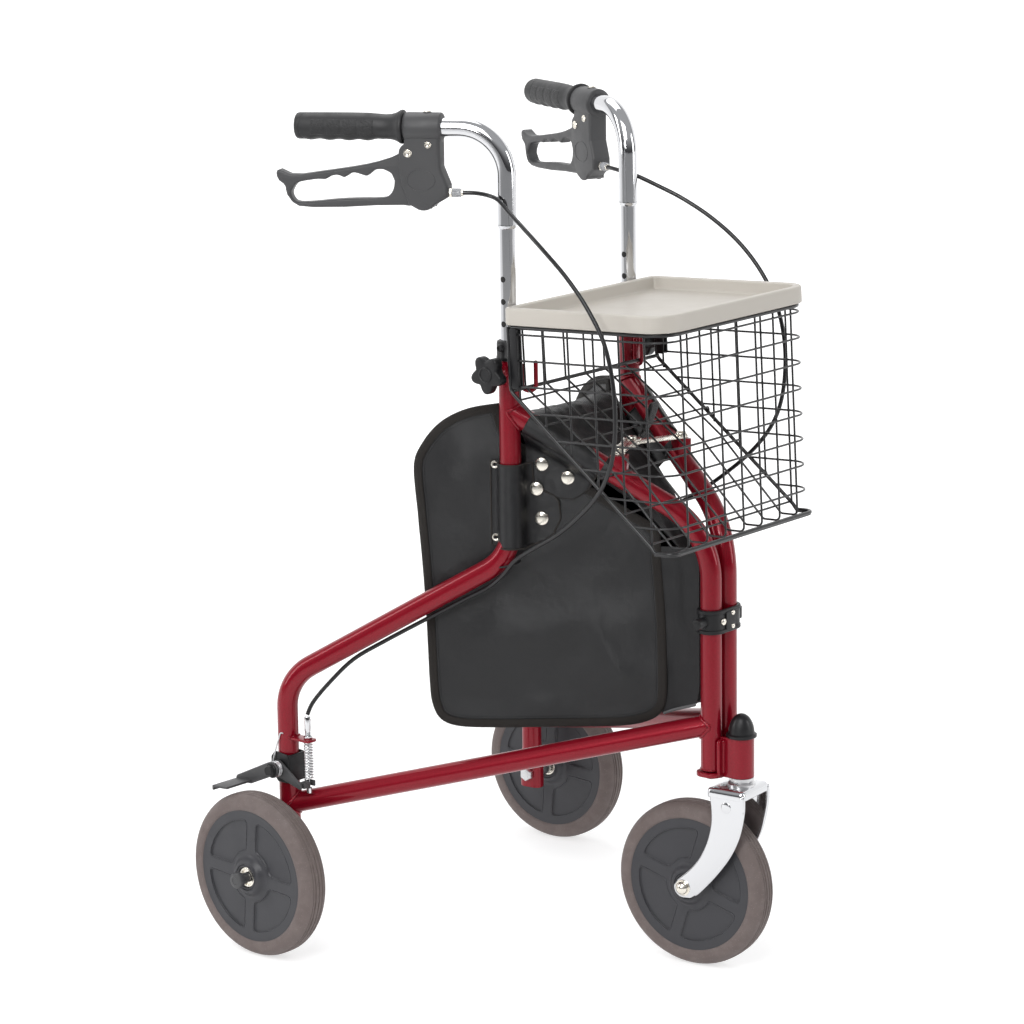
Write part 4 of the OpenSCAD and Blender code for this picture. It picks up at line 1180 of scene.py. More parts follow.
def cable_tie(s, word):
    """The tie that holds the cable where the post bends into the slope."""
    tie = Shape()
    lean = Matrix.Rotation(math.radians(-14), 4, "X")
    tie.add(torus(13.4, 1.2, 40, 8), side(s) @ move(0, POST_R + 4, 481) @ lean)
    tie.add(block((4, 6, 5), 0.8, 1.2), side(s) @ move(-13.6, POST_R + 3, 481))
    make(word + "_cable_tie_look", tie, BLACK, word + "_frame")


# ---- Rear brakes ----


def helix(radius, low, high, turns, wire, bow=0.0, sides=8, per=20):
    """A coil spring along Z whose end coils close up. bow bends its middle towards -Y."""
    line = []
    n = int(turns * per)
    for k in range(n + 1):
        t = k / n
        a = 2 * math.pi * turns * t
        end = min(t, 1 - t) * turns
        z = lerp(low + wire, high - wire, smooth(t) if end < 0.5 else t)
        line.append(Vector((radius * math.cos(a), radius * math.sin(a) - bow * math.sin(math.pi * t), z)))
    return tube(line, wire, sides)


def at_brake(s):
    """Origin at the brake's pivot, turned as the rear wheel is."""
    return at_leg(s) @ move(0, 0, BRAKE_Z)


def brake_bracket(s, word):
    """The bracket on the leg, with the pivot bolt and its nut."""
    place = at_brake(s)
    bracket = Shape()
    outer = rounded_outline([(-14, 17), (9, 19), (15, 12), (15, -6), (4, -18), (-14, -18)], 4)
    for m in (1, -1):
        bracket.add(slab(outer, 2.8, 0.7), place @ mirrored(m) @ move(12.4 if m > 0 else 11, 0, 0) @ PLATE)
    bracket.add(block((27, 2.6, 34), 0.7, 1), place @ move(0.4, -13.8, 0))
    bracket.add(turned((0, 0), (8.5, 0), (8.5, 1.2), (7.9, 1.8), (6.6, 1.9), (6.4, 4.6), (5.6, 5.8), (0, 6),
                       sides=40), place @ move(ARM_IN + ARM_W + 0.3, 0, 0) @ ALONG_X)
    bracket.add(hex_nut(12, 6.6), place @ move(-14, 0, 0) @ AGAINST_X)
    bracket.add(tube([(-15, 0, 0), (31, 0, 0)], 4, 20), place)
    body = word + "_frame"
    make(word + "_brake_bracket_look", bracket, BLACK, body, [word + "_brake_bracket"])


def brake_arm(s, word):
    """The arm that turns on the bracket, with the shoe over the tyre and the fork for the wire."""
    place = at_brake(s)
    arm = Shape()
    end = ARM_IN + ARM_W
    arm.add(turned((4.2, ARM_IN), (9.2, ARM_IN), (9.8, ARM_IN + 0.6), (9.8, ARM_IN + 2.6),
                   (7.6, ARM_IN + 3.2), (7.6, end - 3), (9.8, end - 2.4), (9.8, end - 0.5), (9.2, end),
                   (4.2, end), sides=48), place @ ALONG_X)
    rear = [(2, 9.4), (9, 6.5), (61, -17.6), (61.5, -25), (36, -23.4), (4, -9.4), (-4, -8)]
    arm.add(slab(rounded_outline(rear, 2), 2.8, 0.7), place @ move(end - 3.2, 0, 0) @ PLATE)
    slope = math.atan2(-24.5, 52)
    arm.add(slab(rectangle(0, 0, 58, 12, 2), 2.6, 0.6),
            place @ move(ARM_IN + 0.6, 8, 5) @ Matrix.Rotation(slope, 4, "X") @ turn_z(math.pi / 2)
            @ Matrix.Diagonal((1, -1, 1, 1)))
    reach = REAR_WHEEL_X - LEG_X + 15 - ARM_IN
    lip = [(36, -18.6), (60, -20.2), (61.6, -20.6), (61.6, -26.5), (59.2, -26.5), (59, -22.8), (36, -21.4)]
    arm.add(slab(rounded_outline(lip, 0.8, 3), reach, 0.4), place @ move(ARM_IN, 0, 0) @ PLATE)
    front = [(-6, 8), (7, -8.6), (WIRE_Y - 4, -20.6), (WIRE_Y - 5.4, -17.4), (WIRE_Y - 4, -13.6)]
    arm.add(slab(rounded_outline(front, 1.6), 3, 0.7), place @ move(ARM_IN + 0.4, 0, 0) @ PLATE)
    # The fork that holds the cable's wire
    for width, x in ((10.8, 8.0), (2.6, -4.8)):
        arm.add(block((width, 9, 7), 0.6, 1), place @ move(x, WIRE_Y - 0.6, -17))
    arm.add(block((7, 2.6, 7), 0.6, 1), place @ move(0, WIRE_Y + 3.4, -17))
    make(word + "_brake_arm_look", arm, GREY, word + "_brake_arm", [word + "_brake_arm"])


def return_spring(s, word):
    """The coil round the arm's pivot and its leg, which runs up beside the tube."""
    place = at_brake(s)
    spring = Shape()
    spring.add(helix(8.9, 0, 8, 4.5, 0.9), place @ move(ARM_IN + 3, 0, 0) @ ALONG_X)
    leg = catmull([(ARM_IN + 3, 8.9, 0), (ARM_IN + 1.5, 8.6, 8), (15.4, 6.5, 22), (14.0, 3.0, 34),
                   (13.4, 0, 42), (12.4, -3, 42.5)], 5)
    spring.add(tube(leg, 0.9, 8, ends="round"), place)
    make(word + "_return_spring_look", spring, STEEL, word + "_frame")


def brake_spring(s, word):
    """The spring round the wire, which shortens as the arm is pulled up."""
    coil = Shape().add(helix(5.0, 209.4 - BRAKE_Z, TAB_Z - BRAKE_Z - 0.3, 13.5, 0.8, bow=0.7),
                       at_brake(s) @ move(0, WIRE_Y, 0))
    body = word + "_frame"
    spring = make(word + "_brake_spring_look", coil, STEEL, body, [word + "_brake_spring"])
    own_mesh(spring)


def cable_end(s, word):
    """The cable's ferrule on the tab, the wire below it and the wire's stop."""
    fit = Shape()
    spot = at_leg(s) @ move(0, WIRE_Y, 0)
    fit.add(hex_nut(9, 4), spot @ move(0, 0, TAB_Z + 3.2))
    ribs = []
    for k in range(4):
        ribs += [(3.3, 7.4 + 1.2 * k), (3.7, 7.8 + 1.2 * k), (3.3, 8.2 + 1.2 * k)]
    fit.add(turned((0, -1.5), (3.2, -1.5), (3.2, 7.2), *ribs, (3.3, 12.4), (3.75, 13), (3.75, 30), (3.3, 31),
                   (0, 31), sides=32), spot @ move(0, 0, TAB_Z))
    fit.add(tube([(0, 0, 196), (0, 0, TAB_Z)], 1, 10), spot)
    fit.add(turned((0, 193.2), (3.0, 193.2), (3.5, 193.8), (3.5, 199.4), (3.0, 200), (0, 200), sides=24),
            spot)
    make(word + "_cable_end_look", fit, CHROME, word + "_frame", [word + "_cable_fittings"])


# ---- Folding brace and its strap ----


def brace(s, word):
    """One of the two flat links that fold together. The left one carries the centre pin."""
    place = at_link(s)
    low = LINK_Z if s > 0 else LINK_Z + 3.3
    outline = arc((0, 0), 8, -90, 90, 12) + arc((-LINK_LEN, 0), 11, 46.7, 313.3, 18)
    plate = Shape().add(slab(outline, 3, 0.6), place @ move(0, 0, low))
    plate.add(turned((0, 0), (7.6, 0), (7.6, 1), (6.9, 1.4), (6.4, 1.5), (6.1, 3.2), (4.9, 4.5), (2.6, 5),
                     (0, 5), sides=40), place @ move(0, 0, low + 3))
    plate.add(collar(3, LINK_Z - 6, low), place)
    if s > 0:
        plate.add(turned((0, -4), (6, -4), (6, -0.3), (0, -0.3), sides=6), place @ move(-LINK_LEN, 0, LINK_Z))
        plate.add(turned((0, 6.4), (5.6, 6.4), (5.6, 7.2), (4.6, 8.6), (2.4, 9.2), (0, 9.3), sides=40),
                  place @ move(-LINK_LEN, 0, LINK_Z))
    else:
        plate.add(collar(7, LINK_Z, LINK_Z + 3.3), place)
    make(word + "_brace_look", plate, NICKEL, word + "_link", [word + "_brace_link"])


def pull_strap():
    """The loop of webbing on the links' centre pin. Returns the piece and its length in metres."""
    base = LINK_Z + 7.2
    place = at_link(LEFT) @ move(-LINK_LEN, 0, 0) @ turn_z(LINK_ANGLE)
    middle = catmull([(5.5, -6, base + 0.8), (6.5, -9, base + 4), (8.5, -12.5, base + 12),
                      (11, -17, base + 26), (12.5, -20, base + 37), (13, -22, base + 41.5),
                      (13, -24.5, base + 40), (12, -22.6, base + 30), (10, -17.6, base + 16),
                      (8, -12.8, base + 6), (6.5, -9.5, base + 2.2)], 5)
    rings = []
    for i, p in enumerate(middle):
        t = smooth((p.z - base) / 20)
        half = lerp(4, 8, t)
        ahead = (middle[min(i + 1, len(middle) - 1)] - middle[max(i - 1, 0)]).normalized()
        across = Vector((1, 0.1, 0)).normalized()
        out = ahead.cross(across).normalized()
        rings.append([p + across * half * keep_sign(math.cos(a), 0.3) + out * 0.7 * math.sin(a)
                      for a in angles(12)])
    strap = Shape().add(loft(rings), place)
    obj = make("pull_strap_look", strap, WEBBING, "left_link", ["pull_strap"], sharp=50)
    length = sum((b - a).length for a, b in zip(middle, middle[1:])) * MM
    return obj, length


# ---- Basket and tray, in the basket's own frame ----


def plan(e):
    """The basket's outline from above, grown outwards by e."""
    front_r, rear_r = 30, 10
    front_x, rear_x = BASKET_X - front_r, BASKET_X - rear_r
    front_y = front_r - BASKET_DEPTH
    points = []
    for centre, radius, start in (((front_x, front_y), front_r, 270), ((rear_x, -rear_r), rear_r, 0),
                                  ((-rear_x, -rear_r), rear_r, 90), ((-front_x, front_y), front_r, 180)):
        points += arc(centre, radius + e, start, start + 90, 12)
    return points


def floor_z(y):
    """Height of the sloping floor's wires at a distance from the rear."""
    line = [(2, -76), (-4.5, -77), (-60, -119), (-115, -161), (-194, -242.5), (-199, -249.6), (-226, -249.6)]
    for (a, za), (b, zb) in zip(line, line[1:]):
        if y >= b:
            return lerp(za, zb, (y - a) / (b - a))
    return line[-1][1]


def side_edge(z):
    """How far back a level wire reaches at a height."""
    if z > -78:
        return -2.5
    if z > -243:
        return lerp(-2.5, -194, (z + 78) / -165)
    return lerp(-194, -198, (z + 243) / -8)


def basket():
    """The wire basket and the two plates it hangs from."""
    place = at_basket()
    thin, thick = 1.25, 2.2
    x, front = BASKET_X - 1.5, -BASKET_DEPTH + 1.5
    wires = Shape()
    for k in range(9):
        z = -10.4 - 30.1 * k
        y = side_edge(z)
        path = [(-x, y, z), (-x, front, z), (x, front, z), (x, y, z)]
        wires.add(tube(rounded(path, 28, 12), thin, 12), place)
    # The uprights at the sides, inside the level wires, with the floor's cross wires
    for y in (-14, -50, -86, -122, -158, -194):
        low = lerp(-78, -243, min(1, max(0, -y / 194)))
        for m in (1, -1):
            wires.add(tube([(m * (x - 2.2), y, -3), (m * (x - 2.2), y, low)], thin, 12), place)
    for y in (-14, -50, -77, -122, -158, -190, -212):
        z = floor_z(y) - 2.2
        low = lerp(-78, -243, min(1, max(0, -y / 194)))
        path = [(-x + 0.4, y, min(low, z) + 4), (-x + 0.4, y, z), (x - 0.4, y, z),
                (x - 0.4, y, min(low, z) + 4)]
        wires.add(tube(rounded(path, 4, 5), thin, 12), place)
    # The wires that run down the back, along the floor and up the front
    for i in range(-3, 4):
        rear_x, front_x = i * (113 / 3), i * 36
        ys = [-1, -2, -60, -115, -194, -199, front + 2, front + 2, front + 2]
        zs = [-3, -76, -119, -161, -242.5, -248, -248, -100, -3]
        path = [(lerp(rear_x, front_x, -y / 226), y, z) for y, z in zip(ys, zs)]
        wires.add(tube(rounded(path, 6, 5), thin, 12), place)
    # Heavy wires: the rim, the two sloping edges and the one across the back
    wires.add(tube([(u, v, -2.6) for u, v in plan(-2.4)], thick, 14, closed=True), place)
    for m in (1, -1):
        edge = [(m * x, -2.5, -2), (m * x, -2.5, -77), (m * x, -194, -242.5), (m * x, -199, -249),
                (m * x, front + 26, -249), (m * x, front, -249), (0, front, -249)]
        wires.add(tube(rounded(edge, 14, 8), thick, 14), place)
    wires.add(tube([(-x, -4.5, -76), (x, -4.5, -76)], thick, 14), place)
    make("basket_look", wires, WIRE, "basket", ["basket"], sharp=60)

    strips = Shape()
    outline = rectangle(-17, -73, -7, -3, 2)
    for m in (1, -1):
        for out, thick, edge in ((BASKET_X - 0.4, 3, 0.9), (BASKET_X - 7.4, 2.4, 0.8)):
            strips.add(slab(outline, thick, edge), place @ mirrored(m) @ move(out, 0, 0) @ PLATE)
    make("basket_brackets_look", strips, BLACK, "basket", ["basket_brackets"])


def tray():
    """Each step of the tray's section is (how far outside the basket's outline, height)."""
    steps = [(-14, 0.4), (2.2, 0.4), (3.1, 0.8), (3.45, 1.8), (3.5, 4), (3.2, 17), (2.9, 18.8), (2.2, 19.9),
             (1.0, 20.3), (-4.8, 20.3), (-6.0, 20.0), (-6.8, 19.2), (-7.1, 18), (-7.9, 8.2), (-8.5, 6.6),
             (-9.8, 5.7), (-12, 5.4), (-20, 5.3)]
    rings = [[Vector((u, v, z)) for u, v in plan(e)] for e, z in steps]
    shape = Shape().add(loft(rings), at_basket())
    make("tray_look", shape, TRAY, "tray", ["tray"], sharp=45)


# ---- Bag ----

# The panel's edge from the side: (along the frame, height)
PANEL_LINE = [(253, 669), (291, 661.5), (323, 645), (346, 619), (357, 590), (353, 530), (348.5, 467),
              (345.5, 400), (343, 331), (340, 303), (330, 284), (308, 276.5), (262, 277), (215, 280),
              (160, 283), (107, 287.5), (76, 295.5), (60.5, 309), (55.5, 332), (56, 380), (57.5, 426),
              (62, 490), (66, 526), (100, 548), (150, 577), (200, 606), (238, 630), (249, 652)]
PANEL_CENTRE = Vector((208, 460, 0))
BINDING_W = 10.5


def loop_length(points):
    """The length round a closed line."""
    return sum((b - a).length for a, b in zip(points, points[1:] + points[:1]))


def resample(points, n):
    """n points spaced evenly round a closed line."""
    total, loop = loop_length(points), points + points[:1]
    result, i, run = [], 0, 0.0
    for k in range(n):
        want = total * k / n
        while run + (loop[i + 1] - loop[i]).length < want:
            run += (loop[i + 1] - loop[i]).length
            i += 1
        gap = (loop[i + 1] - loop[i]).length
        result.append(loop[i].lerp(loop[i + 1], (want - run) / gap if gap else 0))
    return result


def crease(p, seed, scale):
    """Smooth noise in two dimensions, the same each time for the same seed."""
    return noise.noise(Vector((p[0] / scale, p[1] / scale, seed)))


def panel_sway(u, v, seed):
    """How far the panel's cloth moves across at a place on it."""
    sway = 3.4 * crease((u, v), seed, 130) + 1.6 * crease((u, v), seed + 7, 52)
    sway += 0.5 * crease((u * 0.6, v), seed + 3, 22)
    # Soft folds that run up from the lower front corner and down from the post
    for cu, cv, au, av, wide, deep in ((95, 330, 0.5, 0.86, 10, 2.0), (250, 560, 0.25, -0.97, 12, 2.4),
                                       (300, 600, 0.5, -0.86, 11, 1.8), (180, 300, 0.9, 0.4, 11, 1.6)):
        along = (u - cu) * au + (v - cv) * av
        across = -(u - cu) * av + (v - cv) * au
        sway += deep * math.exp(-(across / wide) ** 2) * smooth(along / 25) * smooth((130 - along) / 90)
    # Broad swells where the cloth hangs away from the frame
    for cu, cv, wide, tall, deep in ((215, 402, 95, 26, 6.0), (300, 602, 30, 42, 4.5),
                                     (120, 350, 60, 24, 3.5), (240, 318, 90, 20, -2.5)):
        sway += deep * math.exp(-((u - cu) / wide) ** 2 - ((v - cv + 0.12 * (u - cu)) / tall) ** 2)
    return sway


def panel(s, word):
    """One stiffened side panel of the bag, with its binding and stitches."""
    seed = 11.3 if s > 0 else 42.7
    curve = catmull([(u, v, 0) for u, v in PANEL_LINE + PANEL_LINE[:1]], 6)[:-1]
    rim = resample(curve, 288)
    n = len(rim)
    normals = []
    for i in range(n):
        t = (rim[(i + 1) % n] - rim[i - 1]).normalized()
        normals.append(Vector((t.y, -t.x, 0)))
    if (rim[0] - PANEL_CENTRE).dot(normals[0]) < 0:
        normals = [-m for m in normals]
    inset = [p - m * BINDING_W for p, m in zip(rim, normals)]
    total = loop_length(rim)
    place = side(s)
    base = -16.0

    def lie(p, extra):
        stiff = smooth((p - PANEL_CENTRE).length / 60)
        return Vector((base + extra + panel_sway(p.x, p.y, seed) * (0.35 + 0.65 * stiff), p.x, p.y))

    cloth = Shape()
    for face, lift in ((1, 0.0), (-1, -3.0)):
        points = [lie(PANEL_CENTRE, lift)]
        shares = [0.04, 0.1] + [0.16 + 0.06 * k for k in range(13)] + [0.92, 0.96, 0.99, 1.0]
        for share in shares:
            for p in inset:
                q = PANEL_CENTRE.lerp(p, share)
                puff = 1.1 * (1 - share ** 6) * face
                points.append(lie(q, lift + puff))
        faces = [(0, 1 + k, 1 + (k + 1) % n) for k in range(n)]
        faces += [tuple(1 + v for v in f) for f in grid_faces(len(shares), n, True)]
        cloth.add((points, faces), place)
    body = word + "_frame"
    obj = make(word + "_bag_panel_look", cloth, VINYL, body, [word + "_bag_panel"], sharp=70)

    # The woven binding round the edge, folded over both faces
    tape = Shape()
    section = [(0.0, 0.9), (0.08, 1.35), (0.25, 1.5), (0.6, 1.5), (0.85, 1.3), (0.97, 0.5), (1.0, -1.5),
               (0.97, -3.5), (0.85, -4.3), (0.25, -4.5), (0.0, -3.9)]
    points, uvs, run = [], [], 0.0
    for i in range(n + 1):
        p, q = rim[i % n], inset[i % n]
        pucker = 0.25 * math.sin(run * 0.9) + 0.3 * crease((run, 0), seed, 9)
        for t, x in section:
            w = q.lerp(p, t)
            points.append(lie(w, x + (pucker if x > 0 else -pucker) * 0.4))
            uvs.append((t, run))
        run += (rim[(i + 1) % n] - rim[i % n]).length
    tape.add((points, grid_faces(n + 1, len(section)), uvs), place)
    make(word + "_bag_binding_look", tape, BINDING, body, sharp=70)
    # A row of stitches just inside the binding
    stitches = Shape()
    path = resample([p - m * (BINDING_W + 2.2) for p, m in zip(rim, normals)], int(total / 3.6))
    for a, b in zip(path, path[1:]):
        c = a.lerp(b, 0.72)
        mid = a.lerp(c, 0.5)
        stitches.add(tube([lie(a, 0.95), lie(mid, 1.5), lie(c, 0.95)], 0.28, 5), place)
    make(word + "_bag_stitches_look", stitches, THREAD, body)
    return obj


def wrap_post(u):
    """A flap's section round the post, from behind it to the panel in front: (outboard, along)."""
    line = catmull([(-13.6, 263, 0), (-12.0, 257, 0), (-6, 251.4, 0), (2, 250.4, 0), (9.5, 246.6, 0),
                    (13.6, 239.5, 0), (13.8, 232, 0), (10.0, 225.2, 0), (3.5, 221.6, 0), (-4, 219.4, 0),
                    (-9.5, 215.6, 0), (-12.8, 209, 0), (-13.4, 196, 0), (-13.4, 176, 0)], 4)
    at = u * (len(line) - 1)
    i = min(int(at), len(line) - 2)
    p = line[i].lerp(line[i + 1], at - i)
    return p.x, p.y


def end_share(limit):
    """How far along the section the flap must run to reach a distance along the frame."""
    low, high = 0.0, 1.0
    for _ in range(24):
        mid = (low + high) / 2
        low, high = (mid, high) if wrap_post(mid)[1] > limit else (low, mid)
    return low


def steps_through(points, x):
    """The height at x of a softly stepped line through the points."""
    for (a, ya), (b, yb) in zip(points, points[1:]):
        if x <= b:
            return lerp(ya, yb, smooth((x - a) / (b - a)) * 0.5 + 0.5 * max(0, (x - a) / (b - a)))
    return points[-1][1]


def sheet_form(rows, thick=1.3):
    """A thin cloth from rows of points, with its back."""
    n, m = len(rows), len(rows[0])
    front, back = [], []
    for i in range(n):
        for k in range(m):
            du = rows[min(i + 1, n - 1)][k] - rows[max(i - 1, 0)][k]
            dv = rows[i][min(k + 1, m - 1)] - rows[i][max(k - 1, 0)]
            normal = du.cross(dv)
            normal = normal.normalized() if normal.length > 1e-9 else Vector((1, 0, 0))
            front.append(rows[i][k] + normal * thick / 2)
            back.append(rows[i][k] - normal * thick / 2)
    faces = grid_faces(n, m)
    count = n * m
    faces += [tuple(count + v for v in f[::-1]) for f in grid_faces(n, m)]
    border = list(range(m)) + [i * m + m - 1 for i in range(1, n)]
    border += [(n - 1) * m + k for k in range(m - 2, -1, -1)] + [i * m for i in range(n - 2, 0, -1)]
    for a, b in zip(border, border[1:] + border[:1]):
        faces.append((a, b, count + b, count + a))
    return front + back, faces, [front[i] for i in border]


def post_flap(seed):
    """Rows of points over the flap that wraps round the post."""
    front_edge = [(500, 224), (503, 212), (508, 199), (517, 188), (536, 180), (555, 182), (562, 187),
                  (566, 197), (569, 207), (574, 212), (600, 213)]
    rows = []
    for i in range(45):
        z = lerp(501, 601, i / 44)
        stop = end_share(steps_through(front_edge, z))
        row = []
        for k in range(41):
            x, r = wrap_post(stop * k / 40)
            wrinkle = 0.5 * crease((z * 1.6, r), seed, 14) + 0.25 * crease((z * 2.2, r), seed, 7)
            row.append(Vector((x + wrinkle, r, z)))
        rows.append(row)
    return rows


UPPER_RISE = math.atan2(STUB_Z - CORNER_Z, POST_R)


def upper_flap(seed):
    """Rows of points over the flap that hangs from the upper tube."""
    rise = UPPER_RISE
    low_edge = [(146, 21), (148.5, 36), (152, 47), (159, 57), (176, 64.4), (200, 65), (212, 62.5),
                (220, 57), (228, 45), (236, 31), (243, 19), (246, 14)]
    high_edge = [(146, 6), (156, -9), (166, -13.6), (238, -13.6), (246, -9)]
    rows = []
    for i in range(49):
        run = lerp(146.5, 245, i / 48)
        p0, p1 = steps_through(high_edge, run), steps_through(low_edge, run)
        row = []
        for k in range(33):
            p = lerp(p0, max(p1, p0 + 1.5), k / 32)
            if p < 13.4:
                x = math.sqrt(max(14.1 ** 2 - p * p, 0))
                x = x * smooth((14.1 - p) / 3) + lerp(4.4, 0, smooth((14.1 - p) / 3)) if p > 11 else x
            else:
                x = lerp(4.4, -12.9, smooth((p - 13.4) / 17))
            x += 0.6 * crease((run * 1.4, p), seed + 2, 16) + 0.3 * crease((run, p * 2), seed, 8)
            row.append(Vector((x, run * math.cos(rise) + p * math.sin(rise),
                               CORNER_Z + run * math.sin(rise) - p * math.cos(rise))))
        rows.append(row)
    return rows


def flaps(s, word):
    """The two flaps that hold a panel to its side frame, with their bound edges."""
    place = side(s)
    body = word + "_frame"
    seed = 5.1 if s > 0 else 19.4
    cloth, trim = Shape(), Shape()
    for rows in (post_flap(seed), upper_flap(seed)):
        points, faces, border = sheet_form(rows)
        cloth.add((points, faces), place)
        trim.add(tube(border, 1.1, 8, closed=True), place)
    obj = make(word + "_bag_flaps_look", cloth, VINYL, body, sharp=60)
    edge = make(word + "_flap_edges_look", trim, BINDING, body)
    return obj, edge


def snaps(s, word):
    """The domed snaps on the flaps and the eyelets behind the post."""
    place = side(s)
    metal = Shape()
    for x, r, z in ((-11.8, 202, 599), (-11.8, 171, 584), (-9.6, 208, 570), (-11.8, 202.6, 534.4)):
        spot = place @ move(x, r, z) @ ALONG_X
        metal.add(turned((0, -0.5), (8.0, -0.5), (8.2, 0.3), (7.8, 0.9), (6.8, 1.35), (5.2, 1.85), (3.4, 2.2),
                         (1.6, 2.38), (0.6, 2.42), (0, 2.43), sides=40), spot)
    for z in (510, 597):
        spot = place @ move(-11.0, 257.5, z) @ ALONG_X
        metal.add(turned((2.2, 0), (4.6, 0), (4.8, 0.6), (4.2, 1.3), (3.0, 1.4), (2.2, 0.8), (2.2, 0),
                         sides=32), spot)
    make(word + "_snaps_look", metal, NICKEL, word + "_frame")


def tube_clip(s, word):
    """The clip on the upper tube."""
    clip = Shape()
    along_tube = Matrix.Rotation(UPPER_RISE - math.pi / 2, 4, "X")
    spot = side(s) @ move(0, 121, CORNER_Z + UPPER_SLOPE * 121) @ along_tube
    clip.add(turned((12.6, -5), (13.6, -5), (14, -4.4), (14, 4.4), (13.6, 5), (12.6, 5), sides=48), spot)
    clip.add(block((5, 8, 9), 0.8, 1.2), spot @ move(-14, 0, 0))
    make(word + "_tube_clip_look", clip, BLACK, word + "_frame")


# The pouch's outline from the side: (along the frame, height)
POUCH_LINE = [(26, 352), (30, 330), (44, 316), (76, 303), (110, 293), (160, 288), (215, 286), (270, 283),
              (303, 284), (322, 292), (329, 312), (332, 350), (333, 420), (334, 490), (334, 560),
              (326, 608), (300, 634), (268, 648), (243, 650), (225, 638), (207, 620), (182, 606),
              (150, 590), (120, 573), (88, 550), (58, 520), (36, 495), (26, 470), (23, 420), (26, 352)]


def pouch():
    """The soft body of the bag between the two panels, open in a V towards the back."""
    loop = catmull([(r, z, 0) for r, z in POUCH_LINE], 5)[:-1]
    n = len(loop)
    across = 40
    points = []
    for i, p in enumerate(loop):
        half = max(p.x * math.sin(SPLAY) + COL_X - 16.4 * math.cos(SPLAY) - 3.4, 2.0)
        y = COL_Y + p.x * math.cos(SPLAY) + 16.4 * math.sin(SPLAY)
        normal = (loop[(i + 1) % n] - loop[i - 1]).normalized()
        inward = Vector((0, -normal.y, normal.x))
        for k in range(across + 1):
            u = -1 + 2 * k / across
            middle = 1 - abs(u) ** 3
            fold = 5.5 * crease((u * half * 1.3 + 300, p.x * 0.5 + p.y * 0.5), 3.3, 46)
            fold += 2.6 * crease((u * half * 1.8, p.x + p.y), 8.1, 19)
            fold += 1.1 * crease((u * half, p.x * 1.5 + p.y), 1.7, 9)
            sag = 7.0 * middle if p.y < 320 or p.y > 600 else 4.0 * middle
            shift = inward * (sag * 0.7 + fold * (0.25 + 0.75 * middle))
            points.append(Vector((u * half, y, p.y)) + shift)
    faces = grid_faces(n, across + 1, False, True)
    cloth = Shape().add((points, faces))
    obj = make("bag_pouch_look", cloth, NYLON, None, sharp=75)
    modifier = obj.modifiers.new("cloth", "SOLIDIFY")
    modifier.thickness = 1.2 * MM
    modifier.offset = 0
    baked = bpy.data.meshes.new_from_object(obj.evaluated_get(bpy.context.evaluated_depsgraph_get()))
    obj.modifiers.clear()
    obj.data = baked
    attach(obj, "front")
    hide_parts("bag_pouch")
    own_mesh(obj)
    return obj


def gussets(s, word):
    """The narrow cloth that joins a panel's front edge to its column, with a pale lining below."""
    place = side(s)
    rows = []
    for i in range(30):
        z = lerp(322, 505, i / 29)
        front = 14.5 + 4 * smooth((345 - z) / 30)
        row = []
        for k in range(17):
            t = k / 16
            r = lerp(front, 62 + 4 * smooth((z - 460) / 50), t)
            middle = math.sin(math.pi * t)
            rumple = 2.6 * crease((r * 1.6, z * 0.5), 4.4 * s, 22) * smooth(i / 8)
            x = lerp(-4, -17.6, smooth(t)) - 3.4 * middle + rumple * middle
            low = z - 17 * (1 - i / 29) ** 3 * t
            row.append(Vector((x, r, low)))
        rows.append(row)
    points, faces, _ = sheet_form(rows, 1.2)
    cloth = Shape().add((points, faces), place)
    obj = make(word + "_bag_gusset_look", cloth, NYLON, word + "_frame", sharp=60)
    line = [p - Vector((0, 0, 1.0)) for p in catmull(rows[0][1:-1], 2)]
    lip = Shape().add(tube(line, 1.8, 10, ends="round"), place)
    edge = make(word + "_gusset_lining_look", lip, LINING, word + "_frame")
    return obj, edge


# ---- The stage, light and camera ----


def stage():
    """A pale grey floor that curves up into a backdrop behind the walker, brightened by painted glow."""
    profile = rounded([(0, -26, 0), (0, 7, 0), (0, 7, 8)], 3.2, 24)
    points = [turn_z(-VIEW_YAW) @ Vector((x, p.y, p.z)) for x in (-26, 26) for p in profile]
    mesh = bpy.data.meshes.new("floor")
    mesh.from_pydata(points, [], grid_faces(2, len(profile)))
    # Grey floor paint with a painted glow in its emission, so it shows bright behind the walker
    glowing_floor = material("floor_painted_glow", (0.52, 0.52, 0.52), 0.8)
    tree = glowing_floor.node_tree
    shader = tree.nodes["Principled BSDF"]
    shader.inputs["Emission Color"].default_value = (1, 1, 1, 1)
    # Painted glow: the backdrop glows softly behind the walker and the floor in front of it does not
    parts = add_node(tree, "SeparateXYZ", {"Vector": add_node(tree, "TexCoord").outputs["Object"]})
    back = maths(tree, "ADD", maths(tree, "MULTIPLY", parts.outputs["X"], math.sin(VIEW_YAW)),
                 maths(tree, "MULTIPLY", parts.outputs["Y"], math.cos(VIEW_YAW)))
    near = ramp(tree, back, -2.2, -0.4, 0.05, 0.6)
    tree.links.new(maths(tree, "ADD", near, ramp(tree, back, 0.6, 4.0, 0.0, 0.3)),
                   shader.inputs["Emission Strength"])
    mesh.materials.append(glowing_floor)
    mesh.shade_smooth()
    floor = bpy.data.objects.new("floor", mesh)
    bpy.context.scene.collection.objects.link(floor)


def area(name, where, towards, size, power):
    """A lamp at a place in metres, facing another; its size is in metres and its power in watts."""
    lamp = bpy.data.lights.new(name, "AREA")
    lamp.shape = "RECTANGLE"
    lamp.size, lamp.size_y = size
    lamp.energy = power
    obj = bpy.data.objects.new(name, lamp)
    obj.location = where
    obj.rotation_euler = (Vector(towards) - Vector(where)).to_track_quat("-Z", "Y").to_euler()
    bpy.context.scene.collection.objects.link(obj)


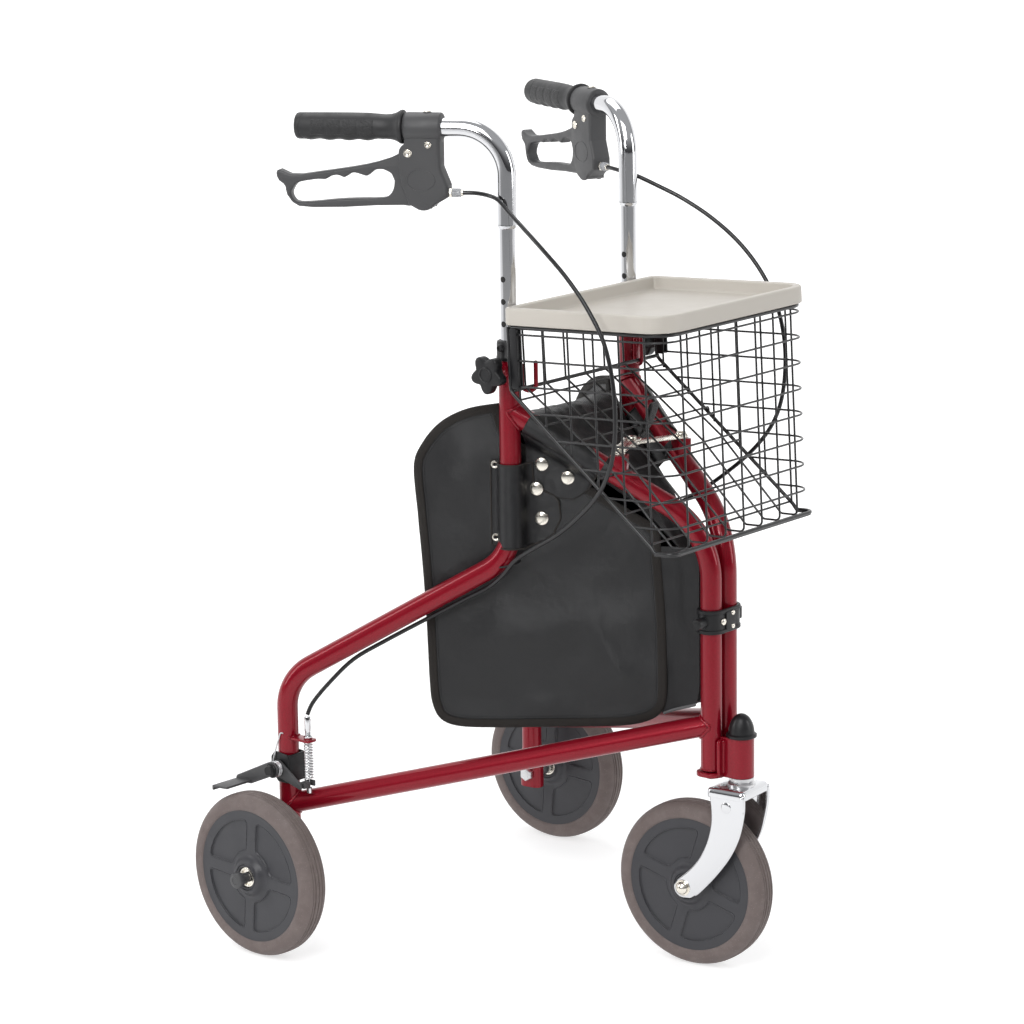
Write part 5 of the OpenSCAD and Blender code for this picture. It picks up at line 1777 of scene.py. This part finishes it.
def light():
    """The room's light and five lamps."""
    scene = bpy.context.scene
    scene.view_settings.view_transform = "Standard"
    world = bpy.data.worlds.new("studio")
    world.use_nodes = True
    scene.world = world
    tree = world.node_tree
    back = tree.nodes["Background"]
    # A pale room with a darker band low down, which the bright metal picks up
    direction = add_node(tree, "TexCoord").outputs["Generated"]
    height = add_node(tree, "SeparateXYZ", {"Vector": direction}).outputs["Z"]
    factor = ramp(tree, height, -0.02, 0.6)
    shade = add_node(tree, "Mix", {"Factor": factor, "A": (0.10, 0.10, 0.105, 1), "B": (0.95, 0.96, 0.98, 1)},
                     data_type="RGBA")
    tree.links.new(shade.outputs["Result"], back.inputs["Color"])
    back.inputs["Strength"].default_value = 0.5
    aim = (0, 0, 0.5)
    area("key_light", (-2.6, -1.2, 3.4), aim, (2.2, 2.2), 75)
    area("strip_light", (-3.4, -0.8, 1.9), aim, (0.5, 1.2), 30)
    area("fill_light", (1.6, -3.4, 1.6), aim, (1.0, 2.4), 34)
    area("rim_light", (-2.4, 2.4, 1.8), aim, (0.7, 2.6), 30)
    area("top_light", (0.6, 1.2, 3.6), aim, (2.6, 2.0), 40)


def camera():
    """Looks down at the walker from in front of its right side."""
    yaw, pitch, roll = VIEW_YAW, math.radians(12.515), math.radians(-0.8386)
    view = Vector((math.sin(yaw) * math.cos(pitch), math.cos(yaw) * math.cos(pitch), -math.sin(pitch)))
    right = Vector((math.cos(yaw), -math.sin(yaw), 0))
    up = right.cross(view)
    tilted_right = right * math.cos(roll) + up * math.sin(roll)
    tilted_up = up * math.cos(roll) - right * math.sin(roll)
    lens = bpy.data.cameras.new("camera")
    lens.lens = 129.39
    lens.sensor_width = 36
    lens.clip_end = 60
    obj = bpy.data.objects.new("camera", lens)
    matrix = Matrix((tilted_right, tilted_up, -view)).transposed().to_4x4()
    matrix.translation = (-3.3764, -2.6584, 1.4721)
    obj.matrix_world = matrix
    bpy.context.scene.collection.objects.link(obj)
    bpy.context.scene.camera = obj


# ---- Everything ----

wheel("front", "front_wheel", at_front_wheel(), math.radians(17))
for s, word in SIDES:
    wheel(word + "_rear", word + "_rear_wheel", at_rear_wheel(s), math.radians(4))
    rear_axle(s, word)
for build in (fork, front_axle, caster_stem, head_bracket, head_cap, head_bushes, column_clamp, pivot_pins):
    build()
for s, word in SIDES:
    for build in (main_tube, column_tube, lower_tube, post_bush, height_knob, handle_tube, height_holes, grip,
                  lever_housing, lever_pins, cable_adjuster, lever, cable, cable_tie, brake_bracket,
                  brake_arm, return_spring, brake_spring, cable_end, brace):
        build(s, word)
basket()
tray()

strap, strap_length = pull_strap()
for s, word in SIDES:
    cloth = panel(s, word)
    flap, edge = flaps(s, word)
    snaps(s, word)
    tube_clip(s, word)
    gusset, lining = gussets(s, word)
pouch()

stage()
light()
camera()
